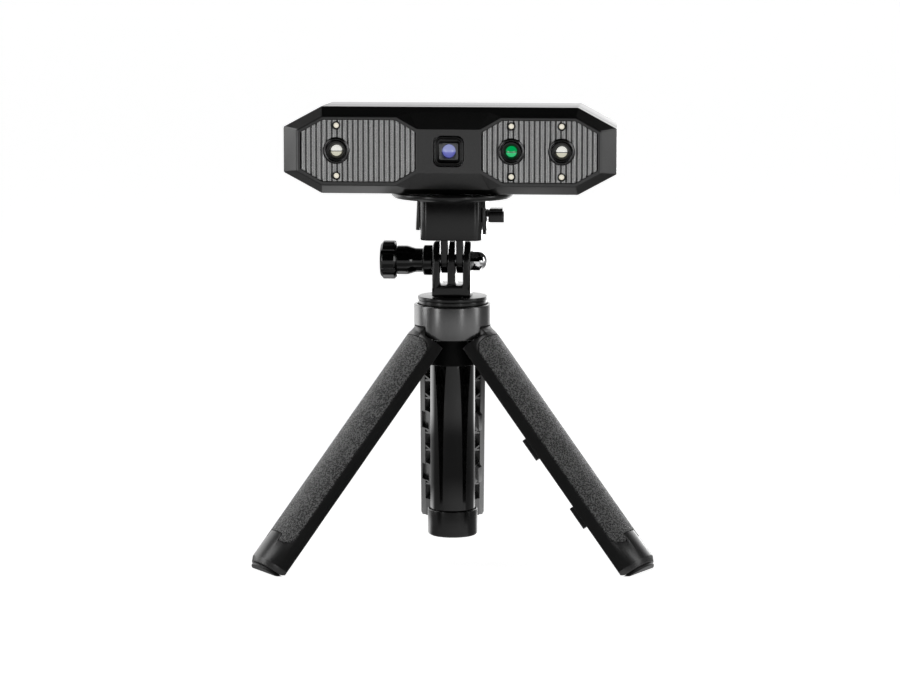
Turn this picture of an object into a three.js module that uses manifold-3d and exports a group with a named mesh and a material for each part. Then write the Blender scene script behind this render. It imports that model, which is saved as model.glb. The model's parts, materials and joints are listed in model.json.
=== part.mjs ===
// A compact three-camera scanner on a pocket tripod, standing as in use.
// Millimetres, +Z up, the scanner looking along -Y, +X to its right in the front view.
import * as THREE from 'three';
import { mergeVertices } from 'three/addons/utils/BufferGeometryUtils.js';
import { ConvexGeometry } from 'three/addons/geometries/ConvexGeometry.js';
import Module from 'manifold-3d';

const wasm = await Module();
wasm.setup();

// Clearances shared by all pieces
const gap = 0.3;
const overrun = 2;

// How many flats stand for a full circle
const finestSides = 32;
const fineSides = 24;
const mediumSides = 16;
const smallSides = 10;
const tinySides = 6;
const hexagonSides = 6;
const handleSides = 30;
const cornerSteps = 3;
const halfRoundSteps = 5;

// Legs, folded shut they make one round handle
const handleRadius = 15.1;
const legDepth = 4.9;
const legInnerRadius = handleRadius - legDepth;
const legLength = 113.7;
const legCount = 3;
const sliceSteps = 6;
const cavitySteps = 3;
const firstLegAzimuth = 210;
const legSplay = 40;
const legSideGap = 0.2;
const legSkin = 2.1;
const legRim = 2.6;
const legPivotDepth = 3.8;
const legPivotRadius = handleRadius - legPivotDepth;
const legTopDrop = 4.9;
const legTopCorner = 2.1;
const legShoulderDrop = 4.1;
const footBlock = 11.7;
const footChamferLength = 2.1;
const footChamferDepth = 1;
const footEndRadius = handleRadius - footChamferDepth;
const footFlatShare = 0.464539;
const footFlat = footEndRadius * footFlatShare;
const footCut = 1.21;
const footClearance = 0.5;
const trussTopDrop = 6.6;
const trussBays = 9;
const trussPitch = (legLength - footBlock - trussTopDrop) / trussBays;
const trussRib = 0.9;
const trussInnerStep = 0.25;
const tabLength = 9.4;
const tabHeight = 1.5;
const tabThickness = 1.6;
const tabDepth = 2.7;
const tabRadius = handleRadius - tabDepth;
const tabFirst = 48.2;
const tabFootRoom = 33.3;
const tabCount = 2;
const tabPitch = (legLength - tabFootRoom - tabFirst) / (tabCount - 1);
const tabSwing = 0.9;
const gripTop = 6.2;
const gripFootRoom = 11.1;
const gripBottom = legLength - gripFootRoom;
const gripStep = 3;
const gripHalfAngle = 41;
const gripStepHalfAngle = 17.6;
const gripCornerShare = 0.298;
const gripCorner = handleRadius * gripCornerShare;
const gripDepth = 1;
const footPadProud = 1.3;
const footPadInset = 0.6;
const footPegRadius = 1.1;
const footPegLength = 2.6;
const footPegSpread = 5;
const knuckleWidth = 7.6;
const knuckleBoss = 2.2;
const knuckleRoot = 6;
const bossSteps = 5;
const knuckleRootWall = 2.8;
const pinRadius = 1;
const pinHalfLength = 5.7;

// Collar, hub and telescoping pole
const collarProud = 0.05;
const collarRadius = handleRadius + collarProud;
const collarWall = 1.3;
const collarHeight = 13.05;
const collarBelowPivot = 3.95;
const collarChamfer = 0.6;
const collarTopWall = 1.3;
const collarRecess = 0.85;
const notchHalfWidth = 4.15;
const notchAbovePivot = 1.2;
const notchChamferRise = 1.65;
const notchChamferRun = 3.65;
const hubSleeveRadius = legInnerRadius - gap;
const hubSleeveWall = 0.9;
const hubSleeveLength = 10.7;
const hubBelowPin = 1.3;
const hubSlotBelow = 6;
const hubSlotAbove = 4;
const outerTubeRadius = hubSleeveRadius - hubSleeveWall - gap;
const outerTubeWall = 0.8;
const middleTubeWall = 0.8;
const innerTubeWall = 0.9;
const tubeTopInset = 0.6;
const capWall = 0.75;
const capRadius = outerTubeRadius + gap + capWall;
const capHeight = 10.4;
const capGround = 7.1;
const capFloor = 2.6;
const capRounding = 1.2;
const capRoundingShare = 0.3;

// Round platform and its stud
const platformInset = 1.55;
const platformRadius = collarRadius - platformInset;
const platformHeight = 3.6;
const platformLip = 1.3;
const platformGroove = 0.4;
const platformGrooveDepth = 0.5;
const platformChamfer = 0.3;
const platformPlug = 5;
const studRadius = 3.15;
const studHeight = 3.4;

// Three-prong clevis
const clevisWidth = 15;
const clevisRadius = 7.5;
const clevisAxisHeight = 13.5;
const clevisChamfer = 1.2;
const slotWidth = 3.2;
const slotSpacing = 6;
const slotMouth = 3.9;
const slotFloorBelowAxis = 9.2;
const slotCorner = 1;
const boltRadius = 2.3;
const nutPocketDepth = 1.4;
const nutFlats = 7.3;
const nutLength = 6.15;
const nutBase = 3.4;
const domeSteps = 4;

// Thumbscrew
const screwCollarRadius = 5.9;
const screwCollarLength = 3.5;
const screwWaistRadius = 4.65;
const screwWaistLength = 6.8;
const screwWaistStraight = 2.4;
const waistSteps = 3;
const screwShoulderRadius = 5.65;
const screwShoulderLength = 3.4;
const screwHeadRadius = 7.45;
const screwHeadLength = 6.5;
const screwHeadChamfer = 1.1;
const screwFlutes = 6;
const screwFluteRadius = 1.5;
const screwFluteDepth = 0.7;
const screwEndWall = 3;

// Quick release under the scanner
const tongueWidth = 23.9;
const tongueDepth = 22;
const tongueAboveAxis = 8.65;
const tongueHeight = 15.87;
const tongueCorner = 3.4;
const tongueLip = 2.7;
const fingerWidth = 2.6;
const fingerRadius = 5;
const receiverTopWidth = 26.6;
const receiverBottomWidth = 27.7;
const receiverDrop = 12.4;
const receiverBack = 2;
const receiverRoof = 3.2;
const railDepth = 1;
const railHeight = 1.8;
const railAboveBottom = 1.6;
const nubSize = 1.4;
const latchReach = 6.15;
const latchHeight = 5.2;
const latchDepth = 8;
const latchBelowTop = 6.6;
const latchStemRaise = 0.8;
const latchEngage = 2.3;
const latchStemShare = 0.5;
const latchPlate = 1;
const latchPlateStep = 0.5;
const flangeRadius = 23.87;
const flangeHeight = 2.1;
const flangeChamfer = 1;
const clampHeadRadius = 4.8;
const clampHeadHeight = 2;
const coinSlotWidth = 1.2;
const clampShankRadius = 3.1;
const clampShankReach = 5;

// Scanner head, an eight-sided bar
const headHalfWidth = 64.34;
const headHalfHeight = 16.83;
const headSlantRun = 14.86;
const headSlantRise = 8.06;
const headFlatHalf = headHalfWidth - headSlantRun;
const headEndHalf = headHalfHeight - headSlantRise;
const headFrontReach = 19;
const headBackReach = 21.3;
const headPan = 4.9;
const faceSideInset = 5.81;
const faceTopInset = 3.55;
const faceFlatInset = 0.55;
const faceEndInset = 0.79;
const faceHalfWidth = headHalfWidth - faceSideInset;
const faceHalfHeight = headHalfHeight - faceTopInset;
const faceFlatHalf = headFlatHalf - faceFlatInset;
const faceEndHalf = headEndHalf - faceEndInset;
const faceBevelDepth = 4.2;
const backTaper = 0.6;
const backChamfer = 2.2;
const headSplit = 10.7;
const headWall = 2;
const faceWall = 3.7;
const bandHalfHeight = 8.4;
const bandHalfWidth = 12.1;
const scoopTopHalf = 15.1;
const scoopRise = 5.75;
const scoopDepth = 1.65;
const scoopShoulder = 20.7;
const scoopReach = 2;
const panelSideRim = 1.13;
const panelTopRim = 1.33;
const panelFlatInset = 0.23;
const panelEndInset = 1.08;
const panelOuter = faceHalfWidth - panelSideRim;
const panelOuterFlat = faceFlatHalf - panelFlatInset;
const panelOuterEnd = faceEndHalf - panelEndInset;
const panelInner = 12.6;
const panelInnerFlat = 20.7;
const panelInnerEnd = 7.2;
const panelHalfHeight = faceHalfHeight - panelTopRim;
const panelDepth = 2.4;
const panelSink = 0.2;
const ribPitch = 2.04;
const ribHeight = 0.75;
const ribSteps = 3;
const cameraEndRoom = 20.94;
const colourCameraShare = 0.148458;
const outerCamera = headHalfWidth - cameraEndRoom;
const colourCamera = panelInnerFlat + (outerCamera - panelInnerFlat) * colourCameraShare;
const cameraPlaces = [-outerCamera, colourCamera, outerCamera];
const cameraNames = ['left', 'colour', 'right'];
const cameraCollarRadius = 5.2;
const cameraCollarProud = 0.35;
const cameraCollarSlope = 0.75;
const cameraBoreRadius = 4.15;
const barrelRadius = 3.85;
const barrelLength = 9.5;
const barrelLip = 0.9;
const barrelSink = 0.25;
const barrelMouth = 3.1;
const lensRadius = 2.1;
const lensCrown = 0.7;
const crownSteps = 2;
const lensBody = 2.4;
const fillLightInset = 2.25;
const fillLightHeight = panelHalfHeight - fillLightInset;
const fillLightBore = 1.63;
const fillLightRadius = 1.12;
const fillLightSink = 0.5;
const fillLightReach = 4.2;
const projectorOuter = 11.4;
const projectorCorner = 2.7;
const projectorInner = 9;
const projectorInnerCorner = 1.7;
const projectorProud = 0.3;
const projectorDepth = 4.6;
const projectorStep = 0.9;
const windowWidth = 7.2;
const windowHeight = 6.6;
const windowThickness = 1;
const projectorLensRadius = 2.5;
const projectorLensLength = 5;
const projectorLensCrown = 0.8;

// Inside and back of the scanner
const benchEndRoom = 11.34;
const benchHalfWidth = headHalfWidth - benchEndRoom;
const benchThickness = 2;
const benchStandoff = 1.2;
const standoffRadius = 2.4;
const screwEndRoom = 14.34;
const screwTopRoom = 6.63;
const screwPlaceX = headHalfWidth - screwEndRoom;
const screwPlaceZ = headHalfHeight - screwTopRoom;
const benchBelowScrew = 3.2;
const benchHalfHeight = screwPlaceZ - benchBelowScrew;
const screwPostRadius = 2.6;
const screwShankRadius = 1.1;
const screwCapRadius = 2.1;
const screwCapHeight = 1.3;
const screwCapSink = 0.5;
const screwPilotDepth = 4;
const boardEndRoom = 20.34;
const boardTopRoom = 5.33;
const boardHalfWidth = headHalfWidth - boardEndRoom;
const boardHalfHeight = headHalfHeight - boardTopRoom;
const boardThickness = 1.6;
const boardBehindWall = 6;
const socketPlaceX = 22;
const boardPostRun = 8;
const boardPostX = socketPlaceX + boardPostRun;
const socketWidth = 9;
const socketHeight = 3.3;
const socketWall = 0.4;
const socketDepth = 7;
const socketSink = 0.4;
const socketTongue = 0.8;
const socketTongueWidth = 6.6;
const buttonRadius = 4.5;
const buttonProud = 0.6;
const buttonRim = 0.8;
const buttonRimHeight = 0.8;
const buttonStemRadius = 1.5;
const buttonTravel = 0.8;
const lightPlaceX = 9;
const lightRadius = 1.1;
const lightLength = 6;
const insertRadius = 5.2;
const insertBore = 3.4;
const insertHeight = 6.5;
const insertRim = 0.8;
const insertRimHeight = 1;
const insertBossRadius = 7.4;
const insertBossHeight = 8.2;

// Heights that follow from the sizes above
const rad = THREE.MathUtils.degToRad;
const sideAngle = 180 / legCount;
const footReach = (legLength + footPadProud) * Math.cos(rad(legSplay))
  + (legPivotRadius - footFlat - footPadInset) * Math.sin(rad(legSplay));
const pivotZ = footReach - footCut;
const collarBottom = pivotZ - collarBelowPivot;
const collarTop = collarBottom + collarHeight;
const collarInner = collarRadius - collarWall;
const collarRoofTop = collarTop - collarRecess;
const collarRoofBottom = collarRoofTop - collarTopWall;
const hubTop = collarRoofBottom - gap;
const outerTubeTop = hubTop - tubeTopInset;
const outerTubeBore = outerTubeRadius - outerTubeWall;
const middleTubeRadius = outerTubeBore - gap;
const middleTubeBore = middleTubeRadius - middleTubeWall;
const innerTubeRadius = middleTubeBore - gap;
const innerTubeBore = innerTubeRadius - innerTubeWall;
const outerTubeBottom = capGround + capFloor + gap;
const middleTubeBottom = outerTubeBottom + tubeTopInset;
const innerTubeBottom = middleTubeBottom + tubeTopInset;
const platformBottom = collarRoofTop + gap;
const platformTop = platformBottom + platformHeight;
const clevisBottom = platformTop + gap;
const tiltZ = clevisBottom + clevisAxisHeight;

// Distances above the tilt axis
const tongueBottom = tongueAboveAxis;
const tongueTop = tongueBottom + tongueHeight;
const flangeBottom = tongueTop + gap;
const flangeTop = flangeBottom + flangeHeight;
const receiverTop = flangeBottom - gap;
const receiverBottom = flangeBottom - receiverDrop;
const roofBottom = receiverTop - receiverRoof;
const headBottom = flangeTop + gap;
const headCentre = headBottom + headHalfHeight;

// Depths of the head, front negative
const headFront = -headFrontReach;
const headBack = headBackReach;
const splitY = headFront + headSplit;
const faceInside = headFront + faceWall;
const backInside = headBack - headWall;
const benchFront = faceInside + benchStandoff + gap;
const boardBack = backInside - boardBehindWall;
const boardFront = boardBack - boardThickness;

// Shapes and solids

function closedSolid(geometry) {
  const bare = new THREE.BufferGeometry();
  bare.setAttribute('position', geometry.getAttribute('position').clone());
  if (geometry.index) bare.setIndex(geometry.index.clone());
  const welded = mergeVertices(bare);
  const corners = welded.index.array;
  const places = welded.getAttribute('position').array;
  const kept = [];
  let volume = 0;
  for (let i = 0; i < corners.length; i += 3) {
    const [a, b, c] = corners.slice(i, i + 3);
    if (a === b || b === c || c === a) continue;
    kept.push(a, b, c);
    const p = new THREE.Vector3().fromArray(places, a * 3);
    const q = new THREE.Vector3().fromArray(places, b * 3);
    const r = new THREE.Vector3().fromArray(places, c * 3);
    volume += p.dot(q.cross(r));
  }
  if (volume < 0) kept.reverse();
  return new wasm.Manifold(new wasm.Mesh({
    numProp: 3,
    vertProperties: new Float32Array(places),
    triVerts: new Uint32Array(kept),
  }));
}

const asSolid = (body) => (body.isBufferGeometry ? closedSolid(body) : body);

function join(first, ...others) {
  return others.reduce((whole, next) => whole.add(asSolid(next)), asSolid(first));
}

function cut(first, ...tools) {
  return tools.reduce((left, tool) => left.subtract(asSolid(tool)), asSolid(first));
}

function common(first, ...others) {
  return others.reduce((left, next) => left.intersect(asSolid(next)), asSolid(first));
}

function outline(points) {
  return new THREE.Shape(points.map(([x, y]) => new THREE.Vector2(x, y)));
}

// Corners are [x, y] or [x, y, radius]
function roundedOutline(points) {
  const shape = new THREE.Shape();
  points.forEach(([x, y, radius = 0], i) => {
    const corner = new THREE.Vector2(x, y);
    const before = new THREE.Vector2(...points[(i + points.length - 1) % points.length]);
    const after = new THREE.Vector2(...points[(i + 1) % points.length]);
    const from = corner.clone().add(before.sub(corner).setLength(radius));
    const to = corner.clone().add(after.sub(corner).setLength(radius));
    if (i === 0) shape.moveTo(from.x, from.y);
    else shape.lineTo(from.x, from.y);
    if (radius > 0) shape.quadraticCurveTo(x, y, to.x, to.y);
  });
  return shape;
}

function rectangle(halfWidth, halfHeight, radius) {
  return roundedOutline([
    [-halfWidth, -halfHeight, radius],
    [halfWidth, -halfHeight, radius],
    [halfWidth, halfHeight, radius],
    [-halfWidth, halfHeight, radius],
  ]);
}

function prismZ(shape, bottom, top, curveSegments = cornerSteps) {
  const settings = { depth: top - bottom, bevelEnabled: false, curveSegments };
  return new THREE.ExtrudeGeometry(shape, settings).translate(0, 0, bottom);
}

// The shape's x and y become X and Z
function prismY(shape, front, back, curveSegments = cornerSteps) {
  const settings = { depth: back - front, bevelEnabled: false, curveSegments };
  const prism = new THREE.ExtrudeGeometry(shape, settings);
  return prism.rotateX(Math.PI / 2).translate(0, back, 0);
}

const shapeToYZ = new THREE.Matrix4().makeBasis(
  new THREE.Vector3(0, 1, 0),
  new THREE.Vector3(0, 0, 1),
  new THREE.Vector3(1, 0, 0),
);

// The shape's x and y become Y and Z
function prismX(shape, left, right, curveSegments = cornerSteps) {
  const settings = { depth: right - left, bevelEnabled: false, curveSegments };
  const prism = new THREE.ExtrudeGeometry(shape, settings);
  return prism.applyMatrix4(shapeToYZ).translate(left, 0, 0);
}

// A profile of [radius, height] turned about Z
function turned(profile, sides = mediumSides) {
  const points = profile.map(([r, z]) => new THREE.Vector2(r, z));
  return new THREE.LatheGeometry(points, sides).rotateX(Math.PI / 2);
}

function rod(radius, bottom, top, sides = mediumSides) {
  return turned([[0, bottom], [radius, bottom], [radius, top], [0, top]], sides);
}

function tube(radius, bore, bottom, top, sides = mediumSides) {
  const profile = [[bore, bottom], [radius, bottom], [radius, top], [bore, top], [bore, bottom]];
  return turned(profile, sides);
}

const alongX = (geometry) => geometry.rotateY(Math.PI / 2);
const alongY = (geometry) => geometry.rotateX(-Math.PI / 2);
const rodX = (...sizes) => alongX(rod(...sizes));
const rodY = (...sizes) => alongY(rod(...sizes));

function block([left, right], [front, back], [bottom, top]) {
  const box = new THREE.BoxGeometry(right - left, back - front, top - bottom);
  return box.translate((left + right) / 2, (front + back) / 2, (bottom + top) / 2);
}

// Finishes

const finishes = {
  matteBlack: [0x1d1d1e, 0.55, 0],
  glossBlack: [0x0c0c0d, 0.2, 0],
  rubber: [0x222223, 0.85, 0],
  grip: [0x48484a, 0.9, 0],
  shell: [0x333334, 0.5, 0.1],
  collar: [0x6c6c6e, 0.35, 0.8],
  housing: [0x4a4a4c, 0.45, 0.5],
  panel: [0x707073, 0.45, 0.5],
  chrome: [0xc8c8cc, 0.15, 1],
  steel: [0x8d8f92, 0.3, 1],
  brass: [0xb08d4a, 0.35, 1],
  board: [0x1f4a2c, 0.6, 0],
  clearLens: [0xdfe6ea, 0.1, 0],
  greenLens: [0x1f7a45, 0.1, 0],
  blueLens: [0x5a6bd0, 0.1, 0],
  window: [0x2a2c33, 0.1, 0],
  light: [0xf2e8c8, 0.3, 0],
};

function piece(name, finish, body) {
  const data = asSolid(body).getMesh();
  const geometry = new THREE.BufferGeometry();
  geometry.setAttribute('position', new THREE.BufferAttribute(data.vertProperties, 3));
  geometry.setIndex(new THREE.BufferAttribute(data.triVerts, 1));
  geometry.computeVertexNormals();
  const [color, roughness, metalness] = finishes[finish];
  const look = { color, roughness, metalness, flatShading: true };
  const mesh = new THREE.Mesh(geometry, new THREE.MeshStandardMaterial(look));
  mesh.name = name;
  return mesh;
}

function groupOf(...members) {
  const group = new THREE.Group();
  group.add(...members);
  return group;
}

// Legs, drawn folded shut about the pivot, the pole axis at x = -legPivotRadius

// Polar place about the pole axis, the angle measured from the leg's middle
function fromPole(radius, angle) {
  return [radius * Math.cos(angle) - legPivotRadius, radius * Math.sin(angle)];
}

// A slice between two radii whose straight sides lie inset from the split planes
function legSlice(innerRadius, outerRadius, inset, outerSteps, innerSteps) {
  const reach = (radius) => rad(sideAngle) - Math.asin(inset / radius);
  const arc = (radius, from, to, steps) => Array.from({ length: steps + 1 }, (_, i) =>
    fromPole(radius, from + ((to - from) * i) / steps));
  const outerReach = reach(outerRadius);
  const innerReach = reach(innerRadius);
  return outline([
    ...arc(outerRadius, -outerReach, outerReach, outerSteps),
    ...arc(innerRadius, innerReach, -innerReach, innerSteps),
  ]);
}

// The full slice below the cavity, closed towards the pole axis by a flat
function footSlice(radius, inset, flat) {
  const side = flat * Math.tan(rad(sideAngle)) - inset / Math.cos(rad(sideAngle));
  const reach = rad(sideAngle) - Math.asin(inset / radius);
  const arc = Array.from({ length: sliceSteps + 1 }, (_, i) =>
    fromPole(radius, reach * ((2 * i) / sliceSteps - 1)));
  return outline([...arc, [flat - legPivotRadius, side], [flat - legPivotRadius, -side]]);
}

function handleProfile() {
  const end = -legLength;
  return turned([
    [0, end],
    [footEndRadius, end],
    [handleRadius, end + footChamferLength],
    [handleRadius, 0],
    [0, 0],
  ], handleSides).translate(-legPivotRadius, 0, 0);
}

// Seen from outside: square at the foot, sloped shoulders and round corners at the top
function legOutline() {
  const half = handleRadius;
  const corner = handleRadius * Math.sin(rad(sideAngle));
  const chamferEnd = notchHalfWidth + notchChamferRun;
  const below = -legTopDrop - legTopCorner - gap;
  return prismX(roundedOutline([
    [-half, -legLength - overrun],
    [half, -legLength - overrun],
    [half, below],
    [corner, below],
    [corner, -legTopDrop, legTopCorner],
    [chamferEnd, -legTopDrop],
    [notchHalfWidth, -legShoulderDrop],
    [-notchHalfWidth, -legShoulderDrop],
    [-chamferEnd, -legTopDrop],
    [-corner, -legTopDrop, legTopCorner],
    [-corner, below],
    [-half, below],
  ]), -handleRadius * 2, handleRadius);
}

function gripShape(grow) {
  const side = handleRadius * Math.sin(rad(gripHalfAngle)) + grow;
  const step = handleRadius * Math.sin(rad(gripStepHalfAngle)) - grow;
  const top = -gripTop + grow;
  const low = -gripBottom - grow;
  const high = low + gripStep;
  return roundedOutline([
    [-side, low, gripCorner],
    [-step, low],
    [-step, high],
    [step, high],
    [step, low],
    [side, low, gripCorner],
    [side, top, gripCorner],
    [-side, top, gripCorner],
  ]);
}

// A ring zone of the handle's outer skin, for the grip and the recess that holds it
function skinZone(innerRadius, outerRadius) {
  const ring = tube(outerRadius, innerRadius, -legLength, 0, handleSides);
  return ring.translate(-legPivotRadius, 0, 0);
}

function gripPad(name) {
  const zone = skinZone(handleRadius - gripDepth + gap, handleRadius);
  const front = prismX(gripShape(0), -legPivotRadius / 2, handleRadius);
  return piece(name, 'grip', common(zone, front));
}

function gripRecess() {
  const zone = skinZone(handleRadius - gripDepth, handleRadius + overrun);
  return common(zone, prismX(gripShape(gap), -legPivotRadius / 2, handleRadius));
}

function trussPlate(top, direction) {
  const half = handleRadius;
  const width = 2 * legInnerRadius * Math.sin(rad(sideAngle));
  const slope = (trussPitch / width) * direction;
  const rise = slope * half;
  const thick = (trussRib / 2) * Math.hypot(1, slope);
  const middle = top - trussPitch / 2;
  return prismX(outline([
    [-half, middle + rise - thick],
    [half, middle - rise - thick],
    [half, middle - rise + thick],
    [-half, middle + rise + thick],
  ]), -handleRadius * 2, handleRadius);
}

// Crossed ribs between the two rims, one cross in each bay
function legTruss() {
  const foot = -legLength + footBlock;
  const inner = legInnerRadius + trussInnerStep;
  const outer = handleRadius - legSkin + gap;
  const slice = legSlice(inner, outer, legRim, cavitySteps, cavitySteps);
  const zone = prismZ(slice, foot - gap, -legTopDrop - legTopCorner);
  const plates = [];
  for (let bay = 0; bay < trussBays; bay += 1) {
    const top = foot + (bay + 1) * trussPitch;
    plates.push(trussPlate(top, 1), trussPlate(top, -1));
  }
  return common(join(...plates), zone);
}

function legCavity() {
  const foot = -legLength + footBlock;
  const inset = legSideGap + legRim;
  const slice = legSlice(legInnerRadius - overrun, handleRadius - legSkin, inset, cavitySteps, 1);
  return prismZ(slice, foot, 0);
}

// A bar lying on the split plane of one side, side is 1 or -1
function onSplitPlane(side, innerRadius, outerRadius, depth, rise, bottom, top) {
  const bar = block([innerRadius, outerRadius], [-depth, rise], [bottom, top]);
  if (side < 0) return bar.scale(1, -1, 1).rotateZ(-rad(sideAngle)).translate(-legPivotRadius, 0, 0);
  return bar.rotateZ(rad(sideAngle)).translate(-legPivotRadius, 0, 0);
}

function clipTabs() {
  const inner = tabRadius - tabThickness / 2;
  return Array.from({ length: tabCount }, (_, i) => {
    const top = -tabFirst - i * tabPitch;
    const rise = tabHeight - legSideGap;
    return onSplitPlane(-1, inner, inner + tabThickness, legSideGap + gap, rise, top - tabLength, top);
  });
}

function clipSlots() {
  const inner = tabRadius - tabThickness / 2 - gap;
  const outer = inner + tabThickness + 2 * gap + tabSwing;
  return Array.from({ length: tabCount }, (_, i) => {
    const top = -tabFirst - i * tabPitch + gap;
    const bottom = top - tabLength - 2 * gap;
    return onSplitPlane(1, inner, outer, tabHeight + gap, overrun, bottom, top);
  });
}

// The knuckle stands in the collar's notch and turns on the pin
function knuckle() {
  const splay = rad(legSplay);
  const stopX = handleRadius - legPivotRadius;
  const stopZ = notchAbovePivot - gap;
  const unfold = (x, z) => [
    x * Math.cos(splay) + z * Math.sin(splay),
    z * Math.cos(splay) - x * Math.sin(splay),
  ];
  const stopInner = Math.sqrt(knuckleBoss ** 2 - stopZ ** 2);
  const bossStart = Math.atan2(stopZ, stopInner);
  const boss = Array.from({ length: bossSteps + 1 }, (_, i) => {
    const angle = bossStart + ((Math.PI - bossStart) * i) / bossSteps;
    return unfold(knuckleBoss * Math.cos(angle), knuckleBoss * Math.sin(angle));
  });
  const shape = outline([
    [stopX, -knuckleRoot],
    unfold(stopX, stopZ),
    ...boss,
    [stopX - knuckleRootWall, -knuckleRoot],
  ]);
  const hole = rod(pinRadius + gap, -knuckleWidth, knuckleWidth, smallSides);
  return cut(
    prismY(shape, -knuckleWidth / 2, knuckleWidth / 2),
    alongY(hole),
  );
}

function footPegs(radius, bottom, top) {
  const middle = (footFlat + footEndRadius) / 2 - legPivotRadius;
  return [-1, 1].map((side) =>
    rod(radius, bottom, top, tinySides).translate(middle, side * footPegSpread, 0));
}

// Everything lower than this height above the table, in the folded leg's own frame
function belowTable(height) {
  const reach = legLength;
  const slab = block([-reach, reach], [-reach, reach], [-reach, height - pivotZ]);
  return slab.rotateY(rad(legSplay));
}

function legShell(name) {
  const outer = handleRadius + overrun;
  const footTop = -legLength + footBlock;
  const section = legSlice(legInnerRadius, outer, legSideGap, sliceSteps, sliceSteps);
  const slice = join(
    prismZ(section, footTop, 0),
    prismZ(footSlice(outer, legSideGap, footFlat), -legLength, footTop),
  );
  const body = common(handleProfile(), slice, legOutline());
  const hollow = cut(body, legCavity(), gripRecess());
  const joined = join(hollow, legTruss(), knuckle(), ...clipTabs());
  const pegHoles = footPegs(footPegRadius + gap, -legLength - overrun, -legLength + footPegLength);
  return piece(name, 'shell', cut(joined, ...clipSlots(), ...pegHoles, belowTable(footClearance)));
}


function footPad(name) {
  const inset = legSideGap + footPadInset;
  const slice = footSlice(footEndRadius - footPadInset, inset, footFlat + footPadInset);
  const bottom = -legLength - footPadProud;
  const top = -legLength - gap;
  const pegs = footPegs(footPegRadius, bottom + gap, -legLength + footPegLength - gap);
  return piece(name, 'rubber', cut(join(prismZ(slice, bottom, top), ...pegs), belowTable(0)));
}

function leg(place, azimuth) {
  const fold = groupOf(
    legShell(`${place}_leg_shell`),
    gripPad(`${place}_leg_grip`),
    footPad(`${place}_foot_pad`),
  );
  fold.name = `pivot_${place}_leg`;
  fold.rotation.y = -rad(legSplay);
  const hinge = groupOf(fold);
  hinge.position.set(
    legPivotRadius * Math.cos(rad(azimuth)),
    legPivotRadius * Math.sin(rad(azimuth)),
    pivotZ,
  );
  hinge.rotation.z = rad(azimuth);
  return hinge;
}

const legNames = ['left', 'right', 'rear'];
const legAzimuths = legNames.map((_, i) => firstLegAzimuth + (i * 360) / legCount);

// Collar, hub and pins

// Notch with chamfered lower corners, cut through the collar's skirt towards +X
function collarNotch() {
  const low = collarBottom - overrun;
  const wide = notchHalfWidth + notchChamferRun;
  const shape = outline([
    [-wide, low],
    [wide, low],
    [wide, collarBottom],
    [notchHalfWidth, collarBottom + notchChamferRise],
    [notchHalfWidth, pivotZ + notchAbovePivot],
    [-notchHalfWidth, pivotZ + notchAbovePivot],
    [-notchHalfWidth, collarBottom + notchChamferRise],
    [-wide, collarBottom],
  ]);
  return prismX(shape, collarInner / 2, collarRadius + overrun);
}

function collarRing() {
  const opening = middleTubeRadius + gap;
  const ledge = platformRadius + gap;
  const ring = turned([
    [collarInner, collarBottom],
    [collarRadius, collarBottom],
    [collarRadius, collarTop - collarChamfer],
    [collarRadius - collarChamfer, collarTop],
    [ledge, collarTop],
    [ledge, collarRoofTop],
    [opening, collarRoofTop],
    [opening, collarRoofBottom],
    [collarInner, collarRoofBottom],
    [collarInner, collarBottom],
  ], finestSides);
  const notches = legAzimuths.map((azimuth) => collarNotch().rotateZ(rad(azimuth)));
  return piece('collar_ring', 'collar', cut(ring, ...notches));
}

function legHub() {
  const radius = collarInner - gap;
  const bore = outerTubeRadius + gap;
  const skirt = pivotZ - pinRadius - hubBelowPin;
  const sleeveEnd = collarBottom - hubSleeveLength;
  const body = turned([
    [bore, sleeveEnd],
    [hubSleeveRadius, sleeveEnd],
    [hubSleeveRadius, skirt],
    [radius, skirt],
    [radius, hubTop],
    [bore, hubTop],
    [bore, sleeveEnd],
  ], fineSides);
  const tools = legAzimuths.flatMap((azimuth) => {
    const slot = block(
      [bore - gap, collarRadius],
      [-notchHalfWidth, notchHalfWidth],
      [pivotZ - hubSlotBelow, pivotZ + hubSlotAbove],
    );
    const hole = rodY(pinRadius + gap, -pinHalfLength - gap, pinHalfLength + gap, tinySides);
    hole.translate(legPivotRadius, 0, pivotZ);
    return [slot.rotateZ(rad(azimuth)), hole.rotateZ(rad(azimuth))];
  });
  return piece('leg_hub', 'matteBlack', cut(body, ...tools));
}

function legPin(place, azimuth) {
  const pin = piece(`${place}_leg_pin`, 'steel', rodY(pinRadius, -pinHalfLength, pinHalfLength, smallSides));
  const seat = groupOf(pin);
  pin.position.set(legPivotRadius, 0, pivotZ);
  seat.rotation.z = rad(azimuth);
  return seat;
}

// Pole

function tubeCap() {
  const bore = outerTubeRadius + gap;
  const top = capGround + capHeight;
  return piece('tube_cap', 'matteBlack', turned([
    [0, capGround],
    [capRadius - capRounding, capGround],
    [capRadius - capRounding * capRoundingShare, capGround + capRounding * capRoundingShare],
    [capRadius, capGround + capRounding],
    [capRadius, top],
    [bore, top],
    [bore, capGround + capFloor],
    [0, capGround + capFloor],
  ], fineSides));
}

function outerTube() {
  const body = tube(outerTubeRadius, outerTubeBore, outerTubeBottom, outerTubeTop, fineSides);
  return piece('outer_tube', 'glossBlack', body);
}

function middleTube() {
  const body = tube(middleTubeRadius, middleTubeBore, middleTubeBottom, collarRoofTop);
  return piece('middle_tube', 'steel', body);
}

function innerTube() {
  const body = tube(innerTubeRadius, innerTubeBore, innerTubeBottom, platformBottom - gap);
  return piece('inner_tube', 'steel', body);
}

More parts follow.
